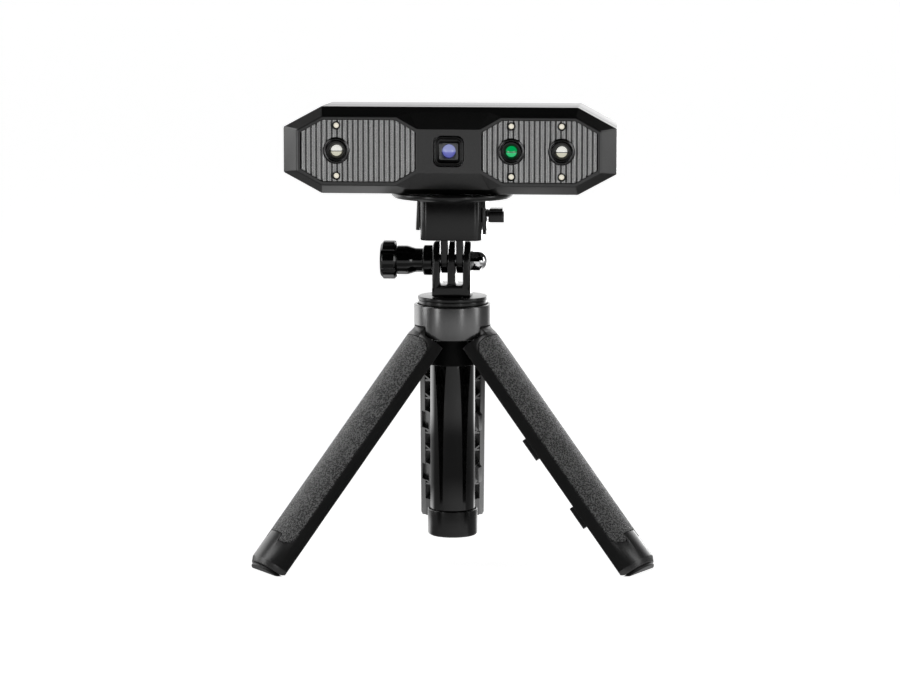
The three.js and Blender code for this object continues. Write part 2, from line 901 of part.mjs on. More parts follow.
function poleHead() {
  const plug = innerTubeBore - gap;
  const lipBottom = platformTop - platformLip;
  return piece('pole_head', 'matteBlack', turned([
    [0, platformBottom - platformPlug],
    [plug, platformBottom - platformPlug],
    [plug, platformBottom],
    [platformRadius - platformChamfer, platformBottom],
    [platformRadius - platformChamfer, lipBottom - platformGroove],
    [platformRadius - platformGrooveDepth, lipBottom - platformGroove],
    [platformRadius - platformGrooveDepth, lipBottom],
    [platformRadius, lipBottom],
    [platformRadius, platformTop - platformChamfer],
    [platformRadius - platformChamfer, platformTop],
    [studRadius, platformTop],
    [studRadius, platformTop + studHeight],
    [0, platformTop + studHeight],
  ], fineSides));
}

// Clevis, its tilt axis along X through the origin of this frame

function clevisSlot(centre) {
  const half = slotWidth / 2;
  const mouth = slotMouth / 2;
  const floor = -slotFloorBelowAxis;
  const shape = roundedOutline([
    [centre - half, floor, slotCorner],
    [centre + half, floor, slotCorner],
    [centre + half, -boltRadius],
    [centre + mouth, boltRadius / 2],
    [centre + mouth, clevisRadius + overrun],
    [centre - mouth, clevisRadius + overrun],
    [centre - mouth, boltRadius / 2],
    [centre - half, -boltRadius],
  ]);
  return prismY(shape, -clevisRadius - overrun, clevisRadius + overrun);
}

function clevis() {
  const half = clevisRadius;
  const low = -clevisAxisHeight;
  const side = new THREE.Shape();
  side.moveTo(-half, low);
  side.lineTo(half, low);
  side.lineTo(half, 0);
  side.absarc(0, 0, half, 0, Math.PI);
  side.closePath();
  const straight = clevisWidth - 2 * clevisChamfer;
  const rounded = new THREE.ExtrudeGeometry(side, {
    depth: straight,
    bevelThickness: clevisChamfer,
    bevelSize: clevisChamfer,
    bevelOffset: -clevisChamfer,
    bevelSegments: 1,
    curveSegments: halfRoundSteps,
  });
  const body = rounded.applyMatrix4(shapeToYZ).translate(-straight / 2, 0, 0);
  const foot = block(
    [-clevisWidth / 2, clevisWidth / 2],
    [-half, half],
    [low, -slotFloorBelowAxis - slotCorner],
  );
  const studHole = rod(studRadius + gap, low - overrun, low + studHeight, smallSides);
  const bolt = rodX(boltRadius + gap, -clevisWidth, clevisWidth, smallSides);
  const nutSeat = hexagonX(nutFlats + 2 * gap, clevisWidth / 2 - nutPocketDepth, clevisWidth);
  return piece('clevis', 'matteBlack', cut(
    join(body, foot),
    clevisSlot(-slotSpacing / 2),
    clevisSlot(slotSpacing / 2),
    studHole,
    bolt,
    nutSeat,
  ));
}

// A hexagonal bar along X
function hexagonX(flats, left, right) {
  const radius = flats / Math.sqrt(3);
  return rodX(radius, left, right, hexagonSides);
}

function capNut() {
  const left = clevisWidth / 2 - nutPocketDepth + gap;
  const baseRight = clevisWidth / 2 + nutBase;
  const right = clevisWidth / 2 + nutLength;
  const domeRadius = nutFlats / 2;
  const dome = [[0, left], [domeRadius, left]];
  for (let i = 0; i < domeSteps; i += 1) {
    const angle = (i / domeSteps) * (Math.PI / 2);
    dome.push([domeRadius * Math.cos(angle), baseRight + (right - baseRight) * Math.sin(angle)]);
  }
  dome.push([0, right]);
  const bore = rodX(boltRadius + gap, left - overrun, baseRight, smallSides);
  return piece('cap_nut', 'chrome', cut(
    join(hexagonX(nutFlats, left, baseRight), alongX(turned(dome, smallSides))),
    bore,
  ));
}

function thumbscrewKnob() {
  const right = -clevisWidth / 2 - gap;
  const collarLeft = right - screwCollarLength;
  const waistLeft = collarLeft - screwWaistLength;
  const shoulderLeft = waistLeft - screwShoulderLength;
  const left = shoulderLeft - screwHeadLength;
  const waist = Array.from({ length: waistSteps + 1 }, (_, i) => {
    const angle = (Math.PI * i) / waistSteps;
    const swell = ((screwShoulderRadius - screwWaistRadius) * (1 - Math.cos(angle))) / 2;
    const along = screwWaistStraight + ((screwWaistLength - screwWaistStraight) * i) / waistSteps;
    return [screwWaistRadius + swell, collarLeft - along];
  });
  const body = alongX(turned([
    [0, right],
    [screwCollarRadius, right],
    [screwCollarRadius, collarLeft + screwHeadChamfer / 2],
    [screwCollarRadius - screwHeadChamfer / 2, collarLeft],
    [screwWaistRadius, collarLeft],
    ...waist,
    [screwShoulderRadius, shoulderLeft],
    [screwHeadRadius - screwHeadChamfer, shoulderLeft],
    [screwHeadRadius, shoulderLeft - screwHeadChamfer],
    [screwHeadRadius, left + screwHeadChamfer],
    [screwHeadRadius - screwHeadChamfer, left],
    [0, left],
  ]));
  const flutes = Array.from({ length: screwFlutes }, (_, i) => {
    const angle = ((2 * i + 1) / screwFlutes) * Math.PI;
    const reach = screwHeadRadius + screwFluteRadius - screwFluteDepth;
    const flute = rodX(screwFluteRadius, left - overrun, shoulderLeft + gap, tinySides);
    return flute.translate(0, reach * Math.cos(angle), reach * Math.sin(angle));
  });
  const bore = rodX(boltRadius + gap, left + screwEndWall, right + overrun, smallSides);
  return piece('thumbscrew_knob', 'glossBlack', cut(body, ...flutes, bore));
}

function thumbscrewBolt() {
  const knobEnd = -clevisWidth / 2 - gap - screwCollarLength - screwWaistLength
    - screwShoulderLength - screwHeadLength;
  const left = knobEnd + screwEndWall + gap;
  const right = clevisWidth / 2 + nutBase - gap;
  return piece('thumbscrew_bolt', 'steel', rodX(boltRadius, left, right, smallSides));
}

// Quick release, in the frame of the tilt axis

function tongueFinger(centre) {
  const top = tongueBottom + overrun;
  const side = new THREE.Shape();
  side.moveTo(fingerRadius, top);
  side.lineTo(-fingerRadius, top);
  side.lineTo(-fingerRadius, 0);
  side.absarc(0, 0, fingerRadius, Math.PI, 2 * Math.PI);
  side.closePath();
  return prismX(side, centre - fingerWidth / 2, centre + fingerWidth / 2, halfRoundSteps);
}

// Where the latch's stem crosses the receiver's wing and enters the tongue
function latchWindow(left, right, grow) {
  const half = (latchDepth * latchStemShare) / 2 + grow;
  const middle = receiverTop - latchBelowTop + latchStemRaise;
  const rise = (latchHeight * latchStemShare) / 2 + grow;
  return block([left, right], [-half, half], [middle - rise, middle + rise]);
}

function tongueRail(side, grow) {
  const wing = tongueWidth / 2 + gap;
  const bottom = receiverBottom + railAboveBottom - grow;
  const inner = wing - railDepth - grow;
  const outer = wing + grow;
  const limits = side > 0 ? [inner, outer] : [-outer, -inner];
  const front = -tongueDepth / 2 + tongueLip - grow;
  return block(limits, [front, tongueDepth / 2 + grow], [bottom, bottom + railHeight + 2 * grow]);
}

function tongueBlock() {
  const half = tongueWidth / 2;
  const front = -tongueDepth / 2;
  const back = tongueDepth / 2 - receiverBack - gap;
  const plan = roundedOutline([
    [-half, front, tongueCorner],
    [half, front, tongueCorner],
    [half, back],
    [-half, back],
  ]);
  const body = prismZ(plan, tongueBottom, tongueTop);
  const roofRoom = block(
    [-half - overrun, half + overrun],
    [front + tongueLip, back + overrun],
    [roofBottom - gap, tongueTop + overrun],
  );
  const latchSocket = latchWindow(half - latchEngage - gap, half + overrun, gap);
  const bolt = rodX(boltRadius + gap, -clevisWidth, clevisWidth, smallSides);
  return piece('tongue_block', 'matteBlack', cut(
    join(body, tongueFinger(-slotSpacing / 2), tongueFinger(slotSpacing / 2)),
    roofRoom,
    latchSocket,
    tongueRail(1, gap),
    tongueRail(-1, gap),
    bolt,
  ));
}

function receiverBlock() {
  const top = receiverTopWidth / 2;
  const bottom = receiverBottomWidth / 2;
  const front = -tongueDepth / 2;
  const back = tongueDepth / 2;
  const body = prismY(outline([
    [-bottom, receiverBottom],
    [bottom, receiverBottom],
    [top, receiverTop],
    [-top, receiverTop],
  ]), front, back);
  const roomHalf = tongueWidth / 2 + gap;
  const room = block(
    [-roomHalf, roomHalf],
    [front - overrun, back - receiverBack],
    [receiverBottom - overrun, roofBottom],
  );
  const lipRoom = block(
    [-roomHalf, roomHalf],
    [front - overrun, front + tongueLip + gap],
    [roofBottom - overrun, receiverTop + overrun],
  );
  const clampRoom = join(
    rod(clampHeadRadius + gap, roofBottom - overrun, roofBottom + clampHeadHeight),
    rod(clampShankRadius + gap, roofBottom, receiverTop + overrun),
  );
  const corner = roundedOutline([
    [-bottom, front, tongueCorner],
    [bottom, front, tongueCorner],
    [bottom, back, tongueCorner],
    [-bottom, back, tongueCorner],
  ]);
  const nub = block(
    [roomHalf, roomHalf + nubSize],
    [front + tongueCorner, front + tongueCorner + nubSize],
    [receiverBottom - nubSize, receiverBottom + gap],
  );
  const shell = common(body, prismZ(corner, receiverBottom - overrun, receiverTop + overrun));
  const opened = cut(shell, room, lipRoom, clampRoom, latchWindow(roomHalf - gap, bottom + overrun, gap));
  return piece('receiver_block', 'matteBlack', join(opened, tongueRail(1, 0), tongueRail(-1, 0), nub));
}

function releaseLatch() {
  const wing = receiverBottomWidth / 2 + gap;
  const middle = receiverTop - latchBelowTop;
  const half = latchDepth / 2;
  const rise = latchHeight / 2;
  const stem = latchWindow(tongueWidth / 2 - latchEngage, wing + gap, 0);
  const grip = roundedOutline([
    [wing, -half],
    [wing + latchReach, -half, latchPlate],
    [wing + latchReach, half, latchPlate],
    [wing, half],
  ]);
  const lever = prismZ(grip, middle - rise, middle + rise - latchPlate);
  const plate = block(
    [wing + latchPlateStep, wing + latchReach - latchPlateStep],
    [-half + latchPlateStep, half - latchPlateStep],
    [middle + rise - latchPlate - gap, middle + rise],
  );
  return piece('release_latch', 'matteBlack', join(stem, lever, plate));
}

function mountingFlange() {
  const bore = clampShankRadius + gap;
  return piece('mounting_flange', 'matteBlack', turned([
    [bore, flangeBottom],
    [flangeRadius - flangeChamfer, flangeBottom],
    [flangeRadius, flangeBottom + flangeChamfer],
    [flangeRadius, flangeTop],
    [bore, flangeTop],
    [bore, flangeBottom],
  ], finestSides));
}

function mountingScrew() {
  const shoulder = roofBottom + clampHeadHeight - gap;
  const body = turned([
    [0, roofBottom],
    [clampHeadRadius, roofBottom],
    [clampHeadRadius, shoulder],
    [clampShankRadius, shoulder],
    [clampShankRadius, headBottom + clampShankReach],
    [0, headBottom + clampShankReach],
  ]);
  const coinSlot = block(
    [-clampHeadRadius - overrun, clampHeadRadius + overrun],
    [-coinSlotWidth / 2, coinSlotWidth / 2],
    [roofBottom - overrun, roofBottom + clampHeadHeight / 2],
  );
  return piece('mounting_screw', 'steel', cut(body, coinSlot));
}

// Scanner head, its centre at the origin of this frame

// Eight corners, long sides flat to flatHalf and ends flat to endHalf
function octagon(halfWidth, halfHeight, flatHalf, endHalf) {
  return [
    [-flatHalf, -halfHeight],
    [flatHalf, -halfHeight],
    [halfWidth, -endHalf],
    [halfWidth, endHalf],
    [flatHalf, halfHeight],
    [-flatHalf, halfHeight],
    [-halfWidth, endHalf],
    [-halfWidth, -endHalf],
  ];
}

// The head's own outline, drawn in by the same distance on every side
function headOutline(inset) {
  const run = headHalfWidth - headFlatHalf;
  const rise = headHalfHeight - headEndHalf;
  const slant = Math.hypot(run, rise);
  return octagon(
    headHalfWidth - inset,
    headHalfHeight - inset,
    headFlatHalf - (inset * (slant - run)) / rise,
    headEndHalf - (inset * (slant - rise)) / run,
  );
}

function hull(...rings) {
  const points = rings.flatMap(([corners, y]) => corners.map(([x, z]) => new THREE.Vector3(x, y, z)));
  return new ConvexGeometry(points);
}

const faceCorners = octagon(faceHalfWidth, faceHalfHeight, faceFlatHalf, faceEndHalf);

// The sloped hollow above the centre band; side is 1 above and -1 below
function scoop(side) {
  const reach = scoopReach;
  const far = headFront - headSplit;
  const foot = [bandHalfWidth, bandHalfHeight];
  const edgeRun = [scoopTopHalf - bandHalfWidth, scoopRise];
  const shoulderRun = [scoopShoulder - bandHalfWidth, faceHalfHeight - bandHalfHeight];
  const points = [];
  [-1, 1].forEach((mirror) => {
    const add = (x, z, y) => points.push(new THREE.Vector3(mirror * x, y, side * z));
    const wide = foot[0] + reach * shoulderRun[0];
    const tall = foot[1] + reach * shoulderRun[1];
    add(foot[0], foot[1], headFront);
    add(foot[0] + reach * edgeRun[0], foot[1] + reach * edgeRun[1], headFront + reach * scoopDepth);
    add(wide, tall, headFront);
    add(foot[0], foot[1], far);
    add(wide, tall, far);
  });
  return new ConvexGeometry(points);
}

// Corners of a ribbed panel; side is -1 on the left and 1 on the right
function panelCorners(side, shrink) {
  const outer = panelOuter - shrink;
  const inner = panelInner + shrink;
  const high = panelHalfHeight - shrink;
  const corners = [
    [inner, -panelInnerEnd],
    [panelInnerFlat, -high],
    [panelOuterFlat, -high],
    [outer, -panelOuterEnd],
    [outer, panelOuterEnd],
    [panelOuterFlat, high],
    [panelInnerFlat, high],
    [inner, panelInnerEnd],
  ];
  return corners.map(([x, z]) => [side * x, z]);
}

function atCameras(build) {
  return cameraPlaces.map((x) => build().translate(x, 0, 0));
}

function atFillLights(build) {
  return cameraPlaces.flatMap((x) => [-1, 1].map((side) => build().translate(x, 0, side * fillLightHeight)));
}

function atScrews(build) {
  return [-1, 1].flatMap((side) => [-1, 1].map((level) =>
    build().translate(side * screwPlaceX, 0, level * screwPlaceZ)));
}

function frontHousing() {
  const back = splitY - gap;
  const outer = join(
    hull([faceCorners, headFront], [headOutline(0), headFront + faceBevelDepth]),
    prismY(outline(headOutline(0)), headFront + faceBevelDepth, back),
  );
  const hollow = hull(
    [headOutline(faceWall), faceInside],
    [headOutline(headWall), headFront + faceBevelDepth],
    [headOutline(headWall), back + overrun],
  );
  const recesses = [-1, 1].map((side) =>
    prismY(outline(panelCorners(side, 0)), headFront - overrun, headFront + panelDepth + gap));
  const shell = cut(outer, scoop(1), scoop(-1), ...recesses, hollow);
  const pilotRadius = screwShankRadius + gap;
  const pilotStart = back - screwPilotDepth;
  const posts = atScrews(() => rodY(screwPostRadius, faceInside - gap, back, tinySides));
  const pilots = atScrews(() => rodY(pilotRadius, pilotStart, back + overrun, tinySides));
  const seats = [-panelInner, panelInner].map((x) =>
    rodY(standoffRadius, faceInside - gap, faceInside + benchStandoff, tinySides).translate(x, 0, 0));
  const through = [headFront - overrun, faceInside + overrun];
  const openings = [
    ...atCameras(() => rodY(cameraBoreRadius, ...through)),
    ...atFillLights(() => rodY(fillLightBore, ...through, tinySides)),
    prismY(rectangle(projectorOuter / 2 + gap, projectorOuter / 2 + gap, projectorCorner), ...through),
  ];
  return piece('front_housing', 'housing', cut(join(shell, ...posts, ...seats), ...pilots, ...openings));
}

// Rounded ribs side by side, drawn as one wave from left to right
function ribWave(left, right, back, crest) {
  const count = Math.round((right - left) / ribPitch);
  const steps = count * ribSteps;
  const points = [[left, back]];
  for (let step = 0; step <= steps; step += 1) {
    const x = left + ((right - left) * step) / steps;
    const rise = Math.abs(Math.sin((Math.PI * step) / ribSteps));
    points.push([x, crest + ribHeight * (1 - rise)]);
  }
  points.push([right, back]);
  return outline(points);
}

function ribbedPanel(side, name) {
  const crest = headFront + panelSink;
  const back = headFront + panelDepth;
  const shrink = gap / 2;
  const left = side < 0 ? -panelOuter + shrink : panelInner + shrink;
  const right = side < 0 ? -panelInner - shrink : panelOuter - shrink;
  const wave = prismZ(ribWave(left, right, back, crest), -headHalfHeight, headHalfHeight);
  const plate = common(wave, prismY(outline(panelCorners(side, shrink)), headFront - overrun, headBack));
  const onSide = (geometry) => geometry.filter((_, i) => Math.sign(cameraPlaces[i]) === side);
  const collars = onSide(atCameras(() => alongY(turned([
    [0, headFront - cameraCollarProud],
    [cameraCollarRadius - cameraCollarSlope, headFront - cameraCollarProud],
    [cameraCollarRadius, headFront + panelSink + gap],
    [cameraCollarRadius, back],
    [0, back],
  ]))));
  const bores = onSide(atCameras(() => rodY(cameraBoreRadius, headFront - overrun, headBack)));
  const lights = atFillLights(() => rodY(fillLightBore, headFront - overrun, headBack, tinySides))
    .filter((_, i) => Math.sign(cameraPlaces[Math.floor(i / 2)]) === side);
  return piece(name, 'panel', cut(join(plate, ...collars), ...bores, ...lights));
}

function cameraBarrel(place, name) {
  const front = headFront + barrelSink - cameraCollarProud;
  const seat = front + barrelLip;
  return piece(`${name}_camera_barrel`, 'glossBlack', alongY(turned([
    [0, seat + lensBody + gap],
    [lensRadius + gap, seat + lensBody + gap],
    [lensRadius + gap, seat],
    [barrelMouth, front],
    [barrelRadius, front],
    [barrelRadius, front + barrelLength],
    [0, front + barrelLength],
  ])).translate(place, 0, 0));
}

// Its front bulges forward by the crown
function domedDisc(radius, crown, front, back, sides) {
  const profile = [[0, front]];
  for (let i = 1; i <= crownSteps; i += 1) {
    const share = i / crownSteps;
    profile.push([radius * share, front + crown * share ** 2]);
  }
  profile.push([radius, back], [0, back]);
  return alongY(turned(profile, sides));
}

function cameraLens(place, name) {
  const seat = headFront + barrelSink - cameraCollarProud + barrelLip;
  const finish = name === 'colour' ? 'greenLens' : 'clearLens';
  const body = domedDisc(lensRadius, lensCrown, seat - gap, seat + lensBody, mediumSides);
  return piece(`${name}_camera_lens`, finish, body.translate(place, 0, 0));
}

function fillLight(place, side, name) {
  const front = headFront + fillLightSink;
  const body = domedDisc(fillLightRadius, lensCrown, front, front + fillLightReach, tinySides);
  const level = side > 0 ? 'upper' : 'lower';
  return piece(`${name}_${level}_fill_light`, 'light', body.translate(place, 0, side * fillLightHeight));
}

function projectorFrame() {
  const half = projectorOuter / 2;
  const inner = projectorInner / 2;
  const front = headFront - projectorProud;
  const back = headFront + projectorDepth;
  const seatY = front + projectorStep;
  const body = prismY(rectangle(half, half, projectorCorner), front, back);
  const mouthBack = seatY + windowThickness + gap;
  const mouth = prismY(rectangle(inner, inner, projectorInnerCorner), front - overrun, mouthBack);
  const well = rodY(projectorLensRadius + gap, front, back + overrun);
  return piece('projector_frame', 'matteBlack', cut(body, mouth, well));
}

function projectorWindow() {
  const front = headFront - projectorProud + projectorStep;
  const shape = rectangle(windowWidth / 2, windowHeight / 2, 0);
  const bore = rodY(projectorLensRadius + gap, front - overrun, front + overrun);
  return piece('projector_window', 'window', cut(prismY(shape, front, front + windowThickness), bore));
}

function projectorLens() {
  const front = headFront - projectorProud + projectorStep + gap;
  const back = front + projectorLensLength;
  const body = domedDisc(projectorLensRadius, projectorLensCrown, front, back, mediumSides);
  return piece('projector_lens', 'blueLens', body);
}

// A bar that holds cameras and projector in line
function opticalBench() {
  const back = benchFront + benchThickness;
  const body = prismY(rectangle(benchHalfWidth, benchHalfHeight, standoffRadius), benchFront, back);
  const bores = atCameras(() => rodY(barrelRadius + gap, benchFront - overrun, back + overrun, smallSides));
  const lensBore = rodY(projectorLensRadius + gap, benchFront - overrun, back + overrun, smallSides);
  return piece('optical_bench', 'steel', cut(body, ...bores, lensBore));
}

function rearHousing() {
  const shoulder = headBack - backChamfer;
  const tapered = headOutline(backTaper);
  const outer = join(
    hull([headOutline(0), splitY], [tapered, shoulder]),
    hull([tapered, shoulder], [headOutline(backTaper + backChamfer), headBack]),
  );
  const hollow = hull(
    [headOutline(headWall), splitY - overrun],
    [headOutline(backTaper + headWall), shoulder - headWall],
    [headOutline(backTaper + headWall + backChamfer), backInside],
  );
  const bossTop = -headHalfHeight + insertBossHeight;
  const boss = rod(insertBossRadius, -headHalfHeight + headWall / 2, bossTop, smallSides);
  const posts = atScrews(() => rodY(screwPostRadius, splitY, backInside + gap, tinySides));
  const boardPosts = [-boardPostX, boardPostX].map((x) =>
    rodY(standoffRadius, boardBack + gap, backInside + gap, tinySides).translate(x, 0, 0));
  const shell = join(cut(outer, hollow), ...posts, ...boardPosts, boss);
  const outside = headBack + overrun;
  const shankRadius = screwShankRadius + gap;
  const capFloor = headBack - screwCapHeight - screwCapSink - gap;
  const shankHoles = atScrews(() => rodY(shankRadius, splitY - overrun, outside, tinySides));
  const capHoles = atScrews(() => rodY(screwCapRadius + gap, capFloor, outside, tinySides));
  const insertRoom = [[insertRadius, insertHeight], [insertRadius + insertRim, insertRimHeight]]
    .map(([radius, height]) => {
      const top = -headHalfHeight + height + gap;
      return rod(radius + gap, -headHalfHeight - overrun, top, smallSides);
    });
  const through = [backInside - overrun, outside];
  const socketShape = rectangle(socketWidth / 2 + gap, socketHeight / 2 + gap, socketHeight / 2);
  const openings = [
    prismY(socketShape, ...through).translate(socketPlaceX, 0, 0),
    rodY(buttonRadius + gap, ...through),
    rodY(lightRadius + gap, ...through, tinySides).translate(-lightPlaceX, 0, 0),
  ];
  return piece('rear_housing', 'housing', cut(shell, ...shankHoles, ...capHoles, ...insertRoom, ...openings));
}

function housingScrew(side, level, index) {
  const capTop = headBack - screwCapSink;
  const capBase = capTop - screwCapHeight;
  const tip = splitY - gap - screwPilotDepth + gap;
  const body = alongY(turned([
    [0, tip],
    [screwShankRadius, tip],
    [screwShankRadius, capBase],
    [screwCapRadius, capBase],
    [screwCapRadius, capTop],
    [0, capTop],
  ], tinySides));
  const drive = rodY(screwShankRadius, capTop - screwCapHeight / 2, capTop + overrun, hexagonSides);
  const screw = piece(`rear_screw_${index}`, 'steel', cut(body, drive));
  screw.position.set(side * screwPlaceX, 0, level * screwPlaceZ);
  return screw;
}

function mainBoard() {
  const shape = rectangle(boardHalfWidth, boardHalfHeight, standoffRadius);
  const notchTop = -headHalfHeight + insertBossHeight + gap;
  const notch = rod(insertBossRadius + gap, -headHalfHeight, notchTop, smallSides);
  return piece('main_board', 'board', cut(prismY(shape, boardFront, boardBack), notch));
}

function usbSocket() {
  const back = headBack - socketSink;
  const front = boardBack + gap;
  const half = socketWidth / 2;
  const rise = socketHeight / 2;
  const floor = back - socketDepth;
  const body = prismY(rectangle(half, rise, rise), front, back);
  const inside = rectangle(half - socketWall, rise - socketWall, rise - socketWall);
  const tongueShape = rectangle(socketTongueWidth / 2, socketTongue / 2, 0);
  const tongue = prismY(tongueShape, floor - socketWall, back - socketTongue);
  const socket = piece('usb_socket', 'steel', join(cut(body, prismY(inside, floor, back + overrun)), tongue));
  socket.position.x = socketPlaceX;
  return socket;
}

function scanButton() {
  const face = headBack + buttonProud;
  const rimFace = backInside - gap;
  const rimBase = rimFace - buttonRimHeight;
  const stemEnd = boardBack + buttonTravel + gap;
  return piece('scan_button', 'matteBlack', alongY(turned([
    [0, stemEnd],
    [buttonStemRadius, stemEnd],
    [buttonStemRadius, rimBase],
    [buttonRadius + buttonRim, rimBase],
    [buttonRadius + buttonRim, rimFace],
    [buttonRadius, rimFace],
    [buttonRadius, face - buttonRim / 2],
    [buttonRadius - buttonRim / 2, face],
    [0, face],
  ])));
}

function statusLight() {
  const body = rodY(lightRadius, headBack - lightLength, headBack - gap / 2, tinySides);
  return piece('status_light', 'light', body.translate(-lightPlaceX, 0, 0));
}

function tripodInsert() {
  const bottom = -headHalfHeight + gap / 2;
  return piece('tripod_insert', 'brass', turned([
    [insertBore, bottom],
    [insertRadius + insertRim, bottom],
    [insertRadius + insertRim, bottom + insertRimHeight],
    [insertRadius, bottom + insertRimHeight],
    [insertRadius, bottom + insertHeight],
    [insertBore, bottom + insertHeight],
    [insertBore, bottom],
  ], smallSides));
}

function scannerHead() {
  const screws = [[-1, -1], [-1, 1], [1, -1], [1, 1]];
  const head = groupOf(
    frontHousing(),
    rearHousing(),
    ribbedPanel(-1, 'left_ribbed_panel'),
    ribbedPanel(1, 'right_ribbed_panel'),
    ...cameraPlaces.map((place, i) => cameraBarrel(place, cameraNames[i])),
    ...cameraPlaces.map((place, i) => cameraLens(place, cameraNames[i])),
    ...cameraPlaces.flatMap((place, i) => [1, -1].map((side) => fillLight(place, side, cameraNames[i]))),
    projectorFrame(),
    projectorWindow(),
    projectorLens(),
    opticalBench(),
    mainBoard(),
    usbSocket(),
    scanButton(),
    statusLight(),
    tripodInsert(),
    ...screws.map(([side, level], i) => housingScrew(side, level, i + 1)),
  );
  head.position.z = headCentre;
  head.name = 'head_centre';
  return head;
}

// Assembly

function tiltingPart() {
  const part = groupOf(
    tongueBlock(),
    receiverBlock(),
    releaseLatch(),
    mountingFlange(),
    mountingScrew(),
    scannerHead(),
  );
  part.name = 'pivot_tilt';
  return part;
}

function panningPart() {
  const part = groupOf(clevis(), capNut(), thumbscrewKnob(), thumbscrewBolt(), tiltingPart());
  part.position.z = tiltZ;
  part.rotation.z = -rad(headPan);
  part.name = 'pivot_pan';
  return part;
}

const assembly = groupOf(
  tubeCap(),
  outerTube(),
  middleTube(),
  innerTube(),
  poleHead(),
  collarRing(),
  legHub(),
  ...legNames.map((name, i) => legPin(name, legAzimuths[i])),
  ...legNames.map((name, i) => leg(name, legAzimuths[i])),
  panningPart(),
);

// The origin lies on the table below the middle of the whole object
const whole = groupOf(assembly);
whole.updateMatrixWorld(true);
const bounds = new THREE.Box3().setFromObject(whole, true);
const middle = bounds.getCenter(new THREE.Vector3());
assembly.position.set(-middle.x, -middle.y, -bounds.min.z);

export default whole;
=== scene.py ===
import json
from math import asin, atan2, cos, hypot, pi, radians, sin, sqrt, tan

import bmesh
import bpy
from mathutils import Matrix, Vector


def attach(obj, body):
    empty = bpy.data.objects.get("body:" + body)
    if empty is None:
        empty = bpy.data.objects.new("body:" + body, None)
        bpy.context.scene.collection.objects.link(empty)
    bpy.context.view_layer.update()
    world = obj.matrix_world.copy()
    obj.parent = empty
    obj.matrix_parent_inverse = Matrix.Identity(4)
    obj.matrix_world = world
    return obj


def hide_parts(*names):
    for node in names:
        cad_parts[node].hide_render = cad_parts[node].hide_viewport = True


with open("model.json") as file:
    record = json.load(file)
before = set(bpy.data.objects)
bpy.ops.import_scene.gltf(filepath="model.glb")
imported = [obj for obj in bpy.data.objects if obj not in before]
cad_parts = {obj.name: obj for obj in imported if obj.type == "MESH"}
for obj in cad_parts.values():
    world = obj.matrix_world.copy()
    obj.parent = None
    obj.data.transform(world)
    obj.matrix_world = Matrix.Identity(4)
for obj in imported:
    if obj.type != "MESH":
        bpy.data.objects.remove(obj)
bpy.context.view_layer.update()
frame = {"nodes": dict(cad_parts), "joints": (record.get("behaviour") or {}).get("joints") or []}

# Lengths are in millimetres in each piece's own frame, and become metres when it is set in place.
MM = 0.001
GAP = 0.3
TURN = 2 * pi
# Sides of round forms.
BROAD, ROUND, FINE, PLAIN, SMALL, TINY = 120, 96, 64, 48, 32, 24
# How far a cutting tool reaches past the surface that it opens.
PAST = 2
# A radius below this is taken for a point on the axis.
ON_AXIS = 1e-6

# Places

joints = {joint["name"]: joint for joint in frame["joints"]}
tilt = Vector(joints["head_tilt"]["pos_m"])
tilt_axis = Vector(joints["head_tilt"]["axis"])
HEAD_CENTRE = 44.05
LEG_SPLAY = radians(40)
LEG_AZIMUTHS = {"left": 210, "right": 330, "rear": 90}

METRES = Matrix.Scale(MM, 4)
POLE = Matrix.Translation((tilt.x, tilt.y, 0)) @ METRES
YOKE = Matrix.Translation(tilt) @ Matrix.Rotation(atan2(tilt_axis.y, tilt_axis.x), 4, "Z") @ METRES
HEAD = YOKE @ Matrix.Translation((0, 0, HEAD_CENTRE))


def leg_place(name):
    pivot = Matrix.Translation(joints[name + "_leg_fold"]["pos_m"])
    azimuth = Matrix.Rotation(radians(LEG_AZIMUTHS[name]), 4, "Z")
    return pivot @ azimuth @ Matrix.Rotation(-LEG_SPLAY, 4, "Y") @ METRES


# Mesh tools


def added(name, data):
    thing = bpy.data.objects.new(name, data)
    bpy.context.scene.collection.objects.link(thing)
    return thing


def new_object(points, faces):
    mesh = bpy.data.meshes.new("shape")
    mesh.from_pydata([tuple(point) for point in points], [], faces)
    mesh.validate()
    turn_outward(mesh)
    return added("shape", mesh)


def turn_outward(mesh):
    work = bmesh.new()
    work.from_mesh(mesh)
    bmesh.ops.recalc_face_normals(work, faces=work.faces)
    work.to_mesh(mesh)
    work.free()


def drop(thing):
    mesh = thing.data
    bpy.data.objects.remove(thing)
    bpy.data.meshes.remove(mesh)


def settle(thing):
    """Replaces the mesh by what its modifiers make of it."""
    graph = bpy.context.evaluated_depsgraph_get()
    mesh = bpy.data.meshes.new_from_object(thing.evaluated_get(graph))
    old = thing.data
    thing.modifiers.clear()
    thing.data = mesh
    bpy.data.meshes.remove(old)
    return thing


def combine(thing, others, operation, overlapping=False):
    for other in others:
        mod = thing.modifiers.new("shape", "BOOLEAN")
        mod.operation = operation
        mod.object = other
        mod.solver = "EXACT"
        mod.use_self = overlapping
    settle(thing)
    for other in others:
        drop(other)
    return thing


def cut(thing, *others):
    return combine(thing, others, "DIFFERENCE")


def join(thing, *others):
    return combine(thing, others, "UNION")


def common(thing, *others):
    return combine(thing, others, "INTERSECT")


def cluster(*things):
    """Several separate solids as one object."""
    points, faces = [], []
    for thing in things:
        start = len(points)
        points += [thing.matrix_basis @ vertex.co for vertex in thing.data.vertices]
        faces += [[start + i for i in polygon.vertices] for polygon in thing.data.polygons]
        drop(thing)
    return new_object(points, faces)


def shift(thing, x=0, y=0, z=0):
    thing.data.transform(Matrix.Translation((x, y, z)))
    return thing


def spin(thing, degrees):
    thing.data.transform(Matrix.Rotation(radians(degrees), 4, "Z"))
    return thing


